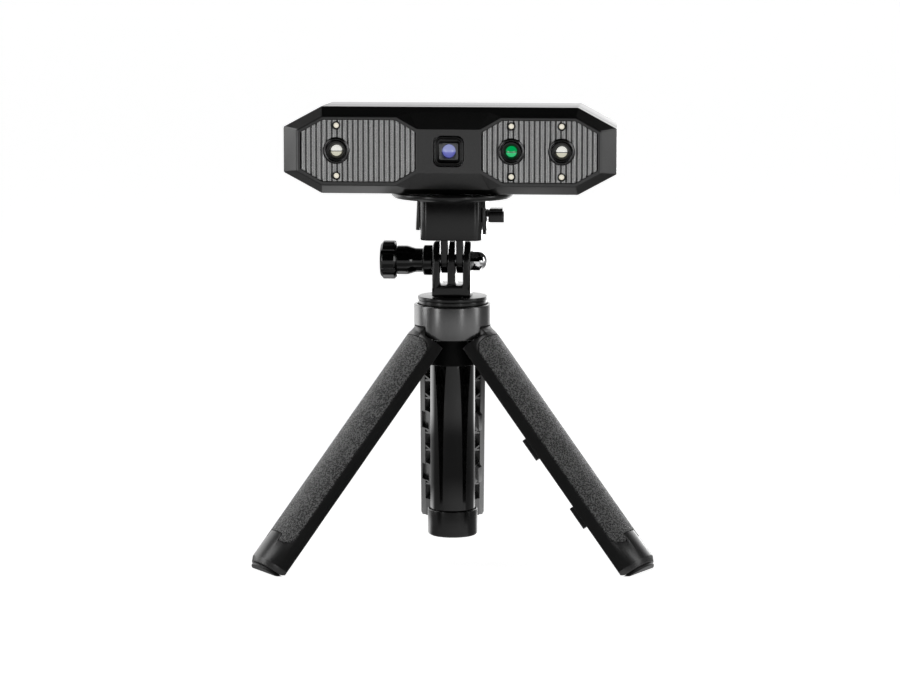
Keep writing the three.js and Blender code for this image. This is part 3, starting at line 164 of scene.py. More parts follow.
def round_corners(corners, steps=5, closed=True):
    """Corners are (x, y) or (x, y, radius)."""
    points = []
    count = len(corners)
    for i, corner in enumerate(corners):
        here = Vector(corner[:2])
        radius = corner[2] if len(corner) > 2 else 0
        if not radius or (not closed and i in (0, count - 1)):
            points.append(here)
            continue
        back = (Vector(corners[i - 1][:2]) - here).normalized()
        ahead = (Vector(corners[(i + 1) % count][:2]) - here).normalized()
        half = back.angle(ahead) / 2
        start = here + back * (radius / tan(half))
        centre = here + (back + ahead).normalized() * (radius / sin(half))
        sweep = pi - 2 * half
        if back.x * ahead.y - back.y * ahead.x > 0:
            sweep = -sweep
        arm = start - centre
        for step in range(steps + 1):
            angle = sweep * step / steps
            turned_arm = Vector((
                arm.x * cos(angle) - arm.y * sin(angle),
                arm.x * sin(angle) + arm.y * cos(angle),
            ))
            points.append(centre + turned_arm)
    return points


AXES = {
    "X": lambda u, v, w: (w, u, v),
    "Y": lambda u, v, w: (u, w, v),
    "Z": lambda u, v, w: (u, v, w),
}


def loft(axis, *levels):
    """A body through outlines with the same number of corners, each at its place along the axis."""
    put = AXES[axis]
    count = len(levels[0][0])
    points = [put(u, v, level) for shape, level in levels for u, v in shape]
    faces = [list(range(count)), list(range(len(points) - count, len(points)))]
    for start in range(0, len(points) - count, count):
        for i in range(count):
            j = (i + 1) % count
            faces.append([start + i, start + j, start + count + j, start + count + i])
    return new_object(points, faces)


def prism(shape, low, high, axis="Z"):
    return loft(axis, (shape, low), (shape, high))


def hull(points):
    mesh = bpy.data.meshes.new("hull")
    work = bmesh.new()
    for point in points:
        work.verts.new(point)
    result = bmesh.ops.convex_hull(work, input=work.verts)
    spare = [item for item in result["geom_interior"] if isinstance(item, bmesh.types.BMVert)]
    bmesh.ops.delete(work, geom=spare, context="VERTS")
    bmesh.ops.dissolve_limit(work, angle_limit=radians(0.5), verts=work.verts, edges=work.edges)
    bmesh.ops.recalc_face_normals(work, faces=work.faces)
    work.to_mesh(mesh)
    work.free()
    return added("hull", mesh)


def lathe(profile, sides=ROUND, axis="Z"):
    """A profile of (radius, height, fillet) that starts and ends on the axis or closes on itself."""
    open_ended = profile[0][0] == 0
    line = round_corners(profile, closed=not open_ended)
    put = AXES[axis]
    points, rows = [], []
    for radius, height in line:
        if radius < ON_AXIS:
            rows.append([len(points)] * sides)
            points.append(put(0, 0, height))
            continue
        rows.append(list(range(len(points), len(points) + sides)))
        for i in range(sides):
            angle = TURN * i / sides
            points.append(put(radius * cos(angle), radius * sin(angle), height))
    pairs = list(zip(rows, rows[1:]))
    if not open_ended:
        pairs.append((rows[-1], rows[0]))
    faces = []
    for low, high in pairs:
        for i in range(sides):
            j = (i + 1) % sides
            face = list(dict.fromkeys((low[i], low[j], high[j], high[i])))
            if len(face) > 2:
                faces.append(face)
    return new_object(points, faces)


def rod(radius, low, high, sides=FINE, axis="Z", fillet=0):
    return lathe([(0, low), (radius, low, fillet), (radius, high, fillet), (0, high)], sides, axis)


def block(x, y, z):
    shape = [(x[0], y[0]), (x[1], y[0]), (x[1], y[1]), (x[0], y[1])]
    return prism(shape, z[0], z[1])


def both_sides(half):
    """An outline from the corners of its right half, lowest first."""
    other = [(-corner[0], *corner[1:]) for corner in half]
    return [other[0], *half, *other[:0:-1]]


def rectangle(half_width, half_height, radius, steps=8):
    right = [(half_width, -half_height, radius), (half_width, half_height, radius)]
    return round_corners(both_sides(right), steps)


def arc(radius, start, end, steps):
    """Points round the origin; the angles are in half turns."""
    angles = [pi * (start + (end - start) * i / steps) for i in range(steps + 1)]
    return [(radius * cos(angle), radius * sin(angle)) for angle in angles]


def hexagon(flats, low, high, axis):
    return prism(arc(flats / sqrt(3), 0, 2, 6)[:-1], low, high, axis)


def soften(thing, width, segments=3, limit=25):
    mod = thing.modifiers.new("edges", "BEVEL")
    mod.width = width
    mod.segments = segments
    mod.limit_method = "ANGLE"
    mod.angle_limit = radians(limit)
    return settle(thing)


LOOK = "_look"


def place(thing, name, body, matrix, material, replaces=(), limit=32):
    """Puts a finished piece in the frame, on its body, with its material."""
    thing.data.transform(matrix)
    turn_outward(thing.data)
    thing.name = name
    thing.data.name = name
    thing.data.materials.clear()
    thing.data.materials.append(material)
    thing.data.shade_smooth()
    thing.data.set_sharp_from_angle(angle=radians(limit))
    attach(thing, body)
    if replaces:
        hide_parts(*replaces)


# Materials


class Graph:
    """A short way to wire the nodes of a material or of the world."""

    def __init__(self, owner, shader="Principled BSDF", place="Object"):
        self.owner = owner
        owner.use_nodes = True
        self.tree = owner.node_tree
        self.shader = self.tree.nodes[shader]
        self.place = self.node("ShaderNodeTexCoord").outputs[place]

    def node(self, kind, **settings):
        made = self.tree.nodes.new(kind)
        for key, value in settings.items():
            setattr(made, key, value)
        return made

    def plug(self, value, socket):
        """Sets a number or a colour, or links what another node gives."""
        if isinstance(value, (int, float, tuple)):
            socket.default_value = value
        else:
            self.tree.links.new(value, socket)

    def feed(self, made, **values):
        for key, value in values.items():
            self.plug(value, made.inputs[key.replace("_", " ")])
        return made.outputs

    def set(self, **values):
        self.feed(self.shader, **values)

    def parts(self):
        """The place as its three numbers."""
        return self.feed(self.node("ShaderNodeSeparateXYZ"), Vector=self.place)

    def stretched(self, x, y, z):
        mapping = self.node("ShaderNodeMapping")
        return self.feed(mapping, Scale=(x, y, z), Vector=self.place)["Vector"]

    def noise(self, scale, detail=3, roughness=0.5, at=None):
        made = self.node("ShaderNodeTexNoise")
        self.feed(made, Scale=scale, Detail=detail, Roughness=roughness, Vector=at or self.place)
        return made.outputs["Fac"]

    def cells(self, scale, feature):
        made = self.node("ShaderNodeTexVoronoi", feature=feature)
        return self.feed(made, Scale=scale, Vector=self.place)["Distance"]

    def ramp(self, value, stops):
        made = self.node("ShaderNodeValToRGB")
        band = made.color_ramp.elements
        while len(band) < len(stops):
            band.new(0.5)
        for element, (position, colour) in zip(band, stops):
            element.position = position
            element.color = (*colour, 1)
        return self.feed(made, Fac=value)["Color"]

    def fade(self, value, first, last, margin=0.3):
        """From one colour to another across the middle of the value's range."""
        return self.ramp(value, [(margin, first), (1 - margin, last)])

    def span(self, value, low, high, start=0, end=1):
        made = self.node("ShaderNodeMapRange")
        self.feed(made, From_Min=start, From_Max=end, To_Min=low, To_Max=high, Value=value)
        return made.outputs["Result"]

    def math(self, operation, first, second):
        made = self.node("ShaderNodeMath", operation=operation)
        self.plug(first, made.inputs[0])
        self.plug(second, made.inputs[1])
        return made.outputs["Value"]

    def blend(self, first, first_share, second, second_share):
        """Two values, each times its share, added up."""
        first = self.math("MULTIPLY", first, first_share)
        return self.math("ADD", first, self.math("MULTIPLY", second, second_share))

    def bump(self, height, strength, distance):
        made = self.node("ShaderNodeBump")
        self.set(Normal=self.feed(made, Strength=strength, Distance=distance, Height=height)["Normal"])


def new_look(name):
    return Graph(bpy.data.materials.new(name + LOOK))


def grey(level):
    return (level, level, level)


SPARKLE_DEPTH = 0.03 * MM
MOULD_DEPTH = 0.06 * MM
PEBBLE_DEPTH = 0.5 * MM


def satin_metal(name, dark, light, roughness, metallic=0.9):
    """Bead-blasted and tinted metal: fine sparkle, faint clouding."""
    g = new_look(name)
    sparkle = g.noise(2600, 4, 0.7)
    both = g.blend(sparkle, 0.75, g.noise(45, 2), 0.25)
    g.set(
        Base_Color=g.fade(both, grey(dark), grey(light)),
        Roughness=g.span(both, roughness - 0.06, roughness + 0.06),
        Metallic=metallic,
    )
    g.bump(sparkle, 0.05, SPARKLE_DEPTH)
    return g.owner


def moulded(name, dark, light, roughness, specular, grain=3800, depth=0.12):
    """Moulded plastic with a fine spark-eroded texture."""
    g = new_look(name)
    texture = g.noise(grain, 5, 0.6)
    cloud = g.noise(70)
    g.set(
        Base_Color=g.fade(g.blend(texture, 0.5, cloud, 0.5), grey(dark), grey(light)),
        Roughness=g.span(cloud, roughness - 0.05, roughness + 0.05),
        Specular_IOR_Level=specular,
    )
    g.bump(texture, depth, MOULD_DEPTH)
    return g.owner


def polished(name, dark, light, roughness, specular):
    """Gloss black with faint wiping marks."""
    g = new_look(name)
    wipe = g.noise(700, 4, 0.65, g.stretched(1, 1, 0.12))
    g.set(
        Base_Color=g.fade(wipe, grey(dark), grey(light), 0.35),
        Roughness=g.span(wipe, roughness * 0.7, roughness * 1.6),
        Specular_IOR_Level=specular,
    )
    return g.owner


def grained_rubber(name):
    """Soft pad with a pebbled grain of about half a millimetre, its raised pebbles painted paler as
    painted highlights over the grain's own colour.
    """
    g = new_look(name)
    pebble = g.cells(1700, "SMOOTH_F1")
    vein = g.noise(2100, 3, 0.7)
    height = g.blend(pebble, 0.7, vein, 1.1)
    # Painted highlight: the higher the grain stands, the paler its colour, mixed with a little random
    # clouding of its own.
    grain_with_painted_highlights = g.blend(height, 0.9, g.noise(160, 2), 0.12)
    g.set(
        Base_Color=g.ramp(grain_with_painted_highlights, [(0.55, grey(0.03)), (0.78, grey(0.11)), (0.93, grey(0.36))]),
        Roughness=g.span(vein, 0.4, 0.6),
        Specular_IOR_Level=0.5,
    )
    g.bump(height, 1, PEBBLE_DEPTH)
    return g.owner


def bare_metal(name, tint, roughness, brush=(1, 1, 1)):
    """Polished or brushed; the brush marks run along the axis with the small number."""
    g = new_look(name)
    lines = g.noise(1200, 4, 0.6, g.stretched(*brush))
    g.set(
        Base_Color=g.fade(lines, tuple(0.82 * part for part in tint), tint, 0.35),
        Roughness=g.span(lines, roughness * 0.7, roughness * 1.4),
        Metallic=1.0,
    )
    g.bump(lines, 0.05, SPARKLE_DEPTH)
    return g.owner


HOUSING = satin_metal("housing_metal", 0.075, 0.1, 0.3)
PANEL = satin_metal("panel_metal", 0.25, 0.31, 0.22)
COLLAR = satin_metal("collar_metal", 0.13, 0.16, 0.25)
COLLAR_DARK = satin_metal("dark_metal", 0.07, 0.09, 0.26)
LEG = satin_metal("leg_plastic", 0.06, 0.08, 0.3, 0.55)
MATTE = moulded("matte_black", 0.005, 0.008, 0.2, 0.42)
SMOOTH = moulded("smooth_black", 0.007, 0.011, 0.24, 0.4, 2400, 0.05)
HUB = moulded("hub_black", 0.003, 0.005, 0.5, 0.12)
RUBBER = moulded("foot_rubber", 0.009, 0.014, 0.45, 0.35, 5200, 0.2)
GRIP = grained_rubber("grip_rubber")
GLOSS = polished("gloss_black", 0.003, 0.005, 0.07, 0.42)
CHROME = bare_metal("chrome", (0.85, 0.85, 0.86), 0.06)
STEEL = bare_metal("steel", (0.5, 0.51, 0.52), 0.28, (1, 1, 0.08))
BRASS = bare_metal("brass", (0.62, 0.45, 0.17), 0.3, (0.1, 0.1, 1))


def board_material():
    """Green laminate with darker traces."""
    g = new_look("board")
    traces = g.cells(260, "DISTANCE_TO_EDGE")
    g.set(
        Base_Color=g.ramp(traces, [(0.0, (0.05, 0.16, 0.07)), (0.08, (0.012, 0.055, 0.022))]),
        Roughness=g.span(g.noise(600), 0.35, 0.5),
    )
    return g.owner


# The height over which a lens's painted reflection changes from its lower half to its upper half, and
# how far the painted dark line between them wavers.
PAINTED_REFLECTION_SPAN = 5
PAINTED_REFLECTION_RIPPLE = 0.12


def lens_with_painted_reflection(name, upper, lower, line=(0.03, 0.03, 0.03), painted_glow=0.7):
    """Coated glass with a painted reflection in its colour: a light upper and a darker lower half with a
    thin dark line between, and emission that makes it shine though it is no lamp.
    """
    g = new_look(name)
    # Painted reflection: the colour follows the height above the head's middle, light above, darker
    # below, with a dark line at the horizon.
    offset = g.math("SUBTRACT", g.parts()["Z"], HEAD.translation.z)
    share = g.blend(offset, 1 / (PAINTED_REFLECTION_SPAN * MM), g.noise(900, 2), PAINTED_REFLECTION_RIPPLE / PAINTED_REFLECTION_SPAN)
    stops = [(0.0, lower), (0.42, lower), (0.455, line), (0.49, line), (0.53, upper), (1.0, upper)]
    colour = g.ramp(g.math("ADD", share, 0.5), stops)
    # The emission makes the painted reflection shine, though a lens is no lamp.
    g.set(
        Base_Color=colour,
        Emission_Color=colour,
        Emission_Strength=painted_glow,
        Roughness=0.08,
        Coat_Weight=1.0,
        Coat_Roughness=0.03,
    )
    return g.owner


def light_look():
    """Warm white caps of the small lights."""
    g = new_look("light_cap")
    g.set(
        Base_Color=g.ramp(g.noise(1500), [(0.3, (0.92, 0.86, 0.62)), (0.6, (1.0, 0.98, 0.9))]),
        Roughness=g.span(g.noise(900), 0.12, 0.22),
        Emission_Color=(1.0, 0.95, 0.8, 1),
        Emission_Strength=0.7,
    )
    return g.owner


def pane_look():
    """The dark window round the projector's lens."""
    g = new_look("window_glass")
    g.set(
        Base_Color=g.fade(g.noise(240, 2), (0.14, 0.145, 0.16), (0.2, 0.205, 0.225)),
        Roughness=g.span(g.noise(500), 0.08, 0.14),
        Coat_Weight=0.6,
    )
    return g.owner


LIGHT = light_look()


# Camera, light, floor

EYE_DISTANCE = 1460
EYE_PITCH = radians(7.49)
EYE_AIM = 85.09
EYE_SIDE = -1.05
FOCAL_PIXELS = 3733
PHOTO_WIDTH = 900


def make_camera():
    lens = bpy.data.cameras.new("photo_camera")
    lens.sensor_width = 36
    lens.lens = FOCAL_PIXELS * lens.sensor_width / PHOTO_WIDTH
    lens.clip_end = 100
    eye = added("photo_camera", lens)
    back = EYE_DISTANCE * cos(EYE_PITCH)
    height = EYE_AIM + EYE_DISTANCE * sin(EYE_PITCH)
    eye.location = (tilt.x + EYE_SIDE * MM, tilt.y - back * MM, height * MM)
    eye.rotation_euler = (pi / 2 - EYE_PITCH, 0, 0)
    bpy.context.scene.camera = eye


# The height in metres that the softboxes face, and each one's azimuth from the front in degrees,
# positive towards +X, then its height, distance, width and tallness in metres and its radiance.
LIT_HEIGHT = 0.1
SOFTBOXES = {
    "left_softbox": (-90, 0.42, 0.75, 0.24, 0.84, 3.4),
    "right_softbox": (76, 0.42, 0.75, 0.2, 0.84, 3.0),
    "near_left_softbox": (-46, 0.12, 0.57, 0.08, 0.16, 4.5),
    "near_right_softbox": (27, 0.12, 0.6, 0.04, 0.16, 5),
    "rim_softbox": (160, 0.1, 0.8, 0.3, 0.2, 2.4),
}


def softbox(name, azimuth, height, distance, width, tallness, radiance):
    light = bpy.data.lights.new(name, "AREA")
    light.shape = "RECTANGLE"
    light.size, light.size_y = width, tallness
    light.energy = radiance * pi * width * tallness
    lamp = added(name, light)
    angle = radians(azimuth)
    lamp.location = (tilt.x + distance * sin(angle), tilt.y - distance * cos(angle), height)
    aim = Vector((tilt.x, tilt.y, LIT_HEIGHT)) - lamp.location
    lamp.rotation_euler = aim.to_track_quat("-Z", "Y").to_euler()


def ray_levels(g, levels):
    """The strength that each kind of ray meets."""
    path = g.node("ShaderNodeLightPath")
    total = 0
    for kind, level in levels.items():
        total = g.math("ADD", total, g.math("MULTIPLY", path.outputs[kind], level))
    return total


# What gloss mirrors: degrees of azimuth, as for the softboxes, and the brightness there.
MIRRORED_LEVEL = 3
MIRRORED = [
    (-180, 0.5), (-146, 0.5), (-136, 0.8), (-122, 0.8), (-106, 0.06), (-74, 0.06), (-60, 0.14),
    (0, 0.24), (66, 0.3), (70, 0.06), (128, 0.06), (142, 0.65), (168, 0.75), (180, 0.5),
]
# The world's brightness by height above the horizon, and the floor's share of what gloss mirrors
# by metres from the pole.
SKY = [(0.0, 1.0), (0.12, 0.9), (0.3, 0.12), (0.6, 0.01), (1.0, 0.0)]
DIM_RING = [(0.0, 1.0), (0.08, 0.9), (0.13, 0.1), (0.28, 0.1), (0.38, 1.0), (1.0, 1.0)]
FLOOR_SHADE = 0.6
FLOOR_WHITE = 0.93
FLOOR_R = 30000
FLOOR_THICK = 10
FLOOR_DROP = 0.1


def grey_stops(stops):
    return [(position, grey(level)) for position, level in stops]


def mirrored_sectors(g, parts):
    """Bright ahead and behind, dark at both sides."""
    azimuth = g.math("ARCTAN2", parts["X"], g.math("MULTIPLY", parts["Y"], -1))
    turn = g.span(azimuth, 0, 1, -pi, pi)
    levels = g.ramp(turn, grey_stops([(0.5 + degrees / 360, level) for degrees, level in MIRRORED]))
    return g.math("MULTIPLY", levels, MIRRORED_LEVEL)


def make_world():
    """White at the horizon, higher up behind the object, dark above."""
    world = bpy.data.worlds.new("studio")
    bpy.context.scene.world = world
    g = Graph(world, "Background", "Generated")
    parts = g.parts()
    rise = g.math("ADD", parts["Z"], g.math("MULTIPLY", parts["Y"], -0.5))
    strength = ray_levels(g, {
        "Is Camera Ray": 1,
        "Is Transmission Ray": 1,
        "Is Glossy Ray": mirrored_sectors(g, parts),
        "Is Diffuse Ray": 0.5,
    })
    g.set(Color=g.ramp(rise, grey_stops(SKY)), Strength=strength)


def make_floor():
    floor = lathe([(0, -FLOOR_THICK), (FLOOR_R, -FLOOR_THICK), (FLOOR_R, 0), (0, 0)], FINE)
    floor.data.transform(METRES @ Matrix.Translation((0, 0, -FLOOR_DROP)))
    floor.location = (tilt.x, tilt.y, 0)
    floor.name = "floor"
    g = Graph(bpy.data.materials.new("floor_white"))
    reach = g.node("ShaderNodeVectorMath", operation="LENGTH")
    g.plug(g.place, reach.inputs[0])
    ring = g.ramp(reach.outputs["Value"], grey_stops(DIM_RING))
    strength = ray_levels(g, {
        "Is Camera Ray": FLOOR_WHITE,
        "Is Transmission Ray": FLOOR_WHITE,
        "Is Glossy Ray": g.math("MULTIPLY", ring, mirrored_sectors(g, g.parts())),
    })
    g.set(
        Base_Color=(*grey(FLOOR_SHADE), 1),
        Roughness=0.8,
        Specular_IOR_Level=0.05,
        Emission_Color=(1, 1, 1, 1),
        Emission_Strength=strength,
    )
    floor.data.materials.append(g.owner)


def make_stage():
    make_camera()
    make_world()
    make_floor()
    for name, values in SOFTBOXES.items():
        softbox(name, *values)
    bpy.context.scene.view_settings.view_transform = "Standard"


# Tripod

COLLAR_R = 15.15
COLLAR_WALL = 1.3
COLLAR_H = 13.05
COLLAR_BELOW = 3.95
PIVOT_Z = joints["rear_leg_fold"]["pos_m"][2] / MM
PIVOT_R = 11.3
COLLAR_LOW = PIVOT_Z - COLLAR_BELOW
COLLAR_TOP = COLLAR_LOW + COLLAR_H
COLLAR_IN = COLLAR_R - COLLAR_WALL
ROOF_TOP = COLLAR_TOP - 0.85
ROOF_LOW = ROOF_TOP - 1.3
HUB_TOP = ROOF_LOW - GAP
NOTCH_HALF = 4.15
NOTCH_TOP = PIVOT_Z + 1.2
NOTCH_RISE = 1.65
NOTCH_RUN = 3.65
SLEEVE_R = 9.9
SLEEVE_END = COLLAR_LOW - 10.7
TUBE_R = 8.7
MIDDLE_R = 7.6
INNER_R = 6.5
CAP_R = 9.75
CAP_LOW = 7.1
CAP_TOP = 17.5
PLATE_R = 13.6
PLATE_LOW = ROOF_TOP + GAP
PLATE_TOP = PLATE_LOW + 3.6
PLUG_R = 5.3
STUD_R = 3.15
STUD_H = 3.4
PIN_R = 1
PIN_HALF = 5.7


def around(build):
    """Three copies of a tool, one towards each leg."""
    return cluster(*[spin(build(), azimuth) for azimuth in LEG_AZIMUTHS.values()])


def notch():
    wide = NOTCH_HALF + NOTCH_RUN
    shape = round_corners(both_sides([
        (wide + 1, COLLAR_LOW - PAST),
        (wide, COLLAR_LOW),
        (NOTCH_HALF, COLLAR_LOW + NOTCH_RISE, 0.7),
        (NOTCH_HALF, NOTCH_TOP, 0.4),
    ]), 4)
    return prism(shape, COLLAR_IN / 2, COLLAR_R + PAST, "X")


def collar_ring():
    ledge = PLATE_R + GAP
    opening = MIDDLE_R + GAP
    ring = lathe([
        (COLLAR_IN, COLLAR_LOW, 0.2), (COLLAR_R, COLLAR_LOW, 0.25), (COLLAR_R, COLLAR_TOP, 0.6),
        (ledge, COLLAR_TOP, 0.15), (ledge, ROOF_TOP), (opening, ROOF_TOP), (opening, ROOF_LOW),
        (COLLAR_IN, ROOF_LOW),
    ], BROAD)
    place(cut(ring, around(notch)), "collar", "stand", POLE, COLLAR, ["collar_ring"], 40)


def pin_hole(sides):
    return rod(PIN_R + GAP, -PIN_HALF - GAP, PIN_HALF + GAP, sides, "Y")


def leg_hub():
    radius = COLLAR_IN - GAP
    bore = TUBE_R + GAP
    skirt = PIVOT_Z - PIN_R - 1.3
    body = lathe([
        (bore, SLEEVE_END, 0.2), (SLEEVE_R, SLEEVE_END, 0.4), (SLEEVE_R, skirt),
        (radius, skirt, 0.3), (radius, HUB_TOP), (bore, HUB_TOP),
    ])
    depth, height = (bore - GAP, COLLAR_R), (PIVOT_Z - 6, PIVOT_Z + 4)
    slots = around(lambda: block(depth, (-NOTCH_HALF, NOTCH_HALF), height))
    holes = around(lambda: shift(pin_hole(TINY), PIVOT_R, 0, PIVOT_Z))
    place(cut(body, slots, holes), "hub", "stand", POLE, HUB, ["leg_hub"])


def pole():
    for name, node, body, look, inner, outer, low, high in (
        ("pole_outer", "outer_tube", "stand", GLOSS, 7.9, TUBE_R, 10, HUB_TOP - 0.6),
        ("pole_middle", "middle_tube", "middle_section", STEEL, 6.8, MIDDLE_R, 10.6, ROOF_TOP),
        ("pole_inner", "inner_tube", "inner_section", STEEL, 5.6, INNER_R, 11.2, PLATE_LOW - GAP),
    ):
        tube = lathe([(inner, low, 0.2), (outer, low, 0.2), (outer, high, 0.2), (inner, high, 0.2)])
        place(tube, name, body, POLE, look, [node])
    inside, floor = TUBE_R + GAP, CAP_LOW + 2.6
    cap = lathe([
        (0, CAP_LOW), (CAP_R, CAP_LOW, 1.2), (CAP_R, CAP_TOP, 0.35), (inside, CAP_TOP, 0.15),
        (inside, floor), (0, floor),
    ])
    place(cap, "pole_cap", "stand", POLE, SMOOTH, ["tube_cap"])


def thread(radius, low, high, pitch, depth):
    """A stud's thread as stacked rings on its own rod."""
    root = radius - depth
    profile = [(0, low), (root, low, 0.1)]
    for i in range(int((high - low - 2 * GAP) / pitch)):
        base = low + GAP + i * pitch
        profile += [
            (root, base + 0.05 * pitch), (radius, base + 0.5 * pitch), (root, base + 0.95 * pitch),
        ]
    return lathe([*profile, (root, high, 0.15), (0, high)], PLAIN)


def pole_head():
    lip = PLATE_TOP - 1.3
    rim = PLATE_R - 0.3
    groove = PLATE_R - 0.55
    plug_end = PLATE_LOW - 5
    boss = STUD_R - 0.2
    body = lathe([
        (0, plug_end), (PLUG_R, plug_end, 0.3), (PLUG_R, PLATE_LOW), (rim, PLATE_LOW, 0.3),
        (rim, lip - 0.4, 0.15), (groove, lip - 0.3, 0.1), (groove, lip - 0.05, 0.1),
        (PLATE_R, lip, 0.15), (PLATE_R, PLATE_TOP, 0.4), (boss, PLATE_TOP, 0.2),
        (boss, PLATE_TOP + 0.3), (0, PLATE_TOP + 0.3),
    ])
    place(body, "platform", "inner_section", POLE, SMOOTH, ["pole_head"])
    stud = thread(STUD_R, PLATE_TOP + 0.2, PLATE_TOP + STUD_H, 0.8, 0.35)
    place(stud, "platform_stud", "inner_section", POLE, STEEL)


# Legs, drawn folded shut

HANDLE_R = 15.1
LEG_IN = 10.2
LEG_LONG = 113.7
SIDE_GAP = 0.2
SKIN = 2.1
TOP_DROP = 4.9
TOP_CORNER = 2.1
TOP_RISE = 0.8
FOOT = 11.7
FOOT_TOP = FOOT - LEG_LONG
FOOT_END_R = 14.1
FOOT_CHAMFER = 2.1
FOOT_FLAT = 6.55
TRUSS_PITCH = 10.6
TRUSS_BAYS = 9
TRUSS_RIB = 0.9
TRUSS_GAP = 0.25
TAB_TOP = -48.2
TAB_PITCH = 32.2
TAB_LONG = 9.4
PAD_PROUD = 1.3
PAD_INSET = 0.6
GRIP_DEPTH = 1
GRIP_TOP = -6.2
GRIP_LOW = -102.6
GRIP_STEP = 3
GRIP_SIDE = HANDLE_R * sin(radians(41))
GRIP_INNER = HANDLE_R * sin(radians(17.6))
KNUCKLE_R = 2.2
KNUCKLE_HALF = 3.8
STOP_HEIGHT = 0.9
THIRD = radians(60)


def slice_arc(radius, inset, direction):
    reach = direction * (THIRD - asin(inset / radius)) / pi
    return [(x - PIVOT_R, y) for x, y in arc(radius, -reach, reach, 24)]


def slice_shape(inner, outer, inset):
    """Between two radii, its straight sides inset from the planes where the legs meet."""
    return slice_arc(outer, inset, 1) + slice_arc(inner, inset, -1)


def foot_shape(radius, inset, flat):
    """A slice closed towards the pole's axis by a flat."""
    side = flat * tan(THIRD) - inset / cos(THIRD)
    return slice_arc(radius, inset, 1) + [(flat - PIVOT_R, side), (flat - PIVOT_R, -side)]


def leg_outline():
    side = HANDLE_R * sin(THIRD)
    wide = NOTCH_HALF + NOTCH_RUN
    shape = round_corners(both_sides([
        (HANDLE_R + 1, -LEG_LONG - PAST),
        (HANDLE_R + 1, -TOP_DROP - TOP_CORNER),
        (side, -TOP_DROP - TOP_CORNER),
        (side, -TOP_DROP, TOP_CORNER * 0.95),
        (wide, -TOP_DROP, 1.2),
        (NOTCH_HALF, TOP_RISE - TOP_DROP, 0.8),
    ]), 6)
    return prism(shape, -2 * HANDLE_R, HANDLE_R, "X")


def leg_body():
    """The shell's skin over its solid foot."""
    end = -LEG_LONG
    handle = lathe([
        (0, end), (FOOT_END_R, end, 0.4), (HANDLE_R, end + FOOT_CHAMFER, 0.6), (HANDLE_R, 0), (0, 0),
    ], BROAD)
    shift(handle, -PIVOT_R)
    outer = HANDLE_R + PAST
    skin = prism(slice_shape(HANDLE_R - SKIN, outer, SIDE_GAP), FOOT_TOP - 1, 1)
    foot = prism(foot_shape(outer, SIDE_GAP, FOOT_FLAT), end - 1, FOOT_TOP)
    return common(handle, join(skin, foot), leg_outline())


def grip_shape(grow):
    """The grip seen from outside, with a step for the foot in the middle of its lower end."""
    side, step = GRIP_SIDE + grow, GRIP_INNER - grow
    top, low = GRIP_TOP + grow, GRIP_LOW - grow
    high = low + GRIP_STEP
    return round_corners([
        (-side, low, 4.2), (-step, low, 0.8), (-step, high, 0.5), (step, high, 0.5),
        (step, low, 0.8), (side, low, 4.2), (side, top, 4.4), (-side, top, 4.4),
    ], 8)


def skin_zone(inner, outer, grow):
    ring = lathe([(inner, -LEG_LONG), (outer, -LEG_LONG), (outer, 0), (inner, 0)], BROAD)
    shift(ring, -PIVOT_R)
    return common(ring, prism(grip_shape(grow), -PIVOT_R / 2, HANDLE_R, "X"))


def truss():
    """Crossed ribs that stiffen the open inside of the shell."""
    width = 2 * LEG_IN * sin(THIRD)
    plates = []
    for bay in range(TRUSS_BAYS):
        middle = FOOT_TOP + (bay + 0.5) * TRUSS_PITCH
        for direction in (1, -1):
            slope = TRUSS_PITCH / width * direction
            rise = slope * HANDLE_R
            thick = TRUSS_RIB / 2 * hypot(1, slope)
            plates.append(prism([
                (-HANDLE_R, middle + rise - thick),
                (HANDLE_R, middle - rise - thick),
                (HANDLE_R, middle - rise + thick),
                (-HANDLE_R, middle + rise + thick),
            ], -2 * HANDLE_R, HANDLE_R, "X"))
    lattice = join(plates[0], *plates[1:])
    zone = slice_shape(LEG_IN + TRUSS_GAP, HANDLE_R - SKIN + GAP, SIDE_GAP + TRUSS_GAP)
    return common(lattice, prism(zone, FOOT_TOP - GAP, -TOP_DROP - TOP_CORNER))


def tab_rows(side, inner, outer, depth, rise, margin):
    """Two blocks on a split side of the shell, longer than a tab by the margin at each end."""
    bars = []
    for row in range(2):
        top = TAB_TOP - TAB_PITCH * row
        bar = block((inner, outer), (-depth, rise), (top - TAB_LONG - margin, top + margin))
        if side < 0:
            bar.data.transform(Matrix.Scale(-1, 4, (0, 1, 0)))
            turn_outward(bar.data)
        bars.append(shift(spin(bar, 60 * side), -PIVOT_R))
    return bars


def unfold(x, z):
    """A point of the opened leg as it lies in the folded leg's own frame."""
    return (
        x * cos(LEG_SPLAY) + z * sin(LEG_SPLAY),
        z * cos(LEG_SPLAY) - x * sin(LEG_SPLAY),
    )


def knuckle():
    """The hinge boss with the stop that meets the hub when the leg is open."""
    stop = HANDLE_R - PIVOT_R
    shape = [(stop, -6), unfold(stop - 0.5, STOP_HEIGHT - 0.06), unfold(stop - 0.9, STOP_HEIGHT)]
    start = asin(STOP_HEIGHT / KNUCKLE_R) / pi
    shape += [unfold(x, z) for x, z in arc(KNUCKLE_R, start, 1, 14)]
    shape.append((stop - 2.8, -6))
    body = prism(shape, -KNUCKLE_HALF, KNUCKLE_HALF, "Y")
    return cut(soften(body, 0.25, 2), pin_hole(SMALL))


def below_table(height):
    """All that is lower than this above the table, in the folded leg's own frame."""
    far = 200
    slab = block((-far, far), (-far, far), (-far, height))
    slab.data.transform(Matrix.Rotation(LEG_SPLAY, 4, "Y"))
    return shift(slab, -PIVOT_Z * sin(LEG_SPLAY), 0, -PIVOT_Z * cos(LEG_SPLAY))


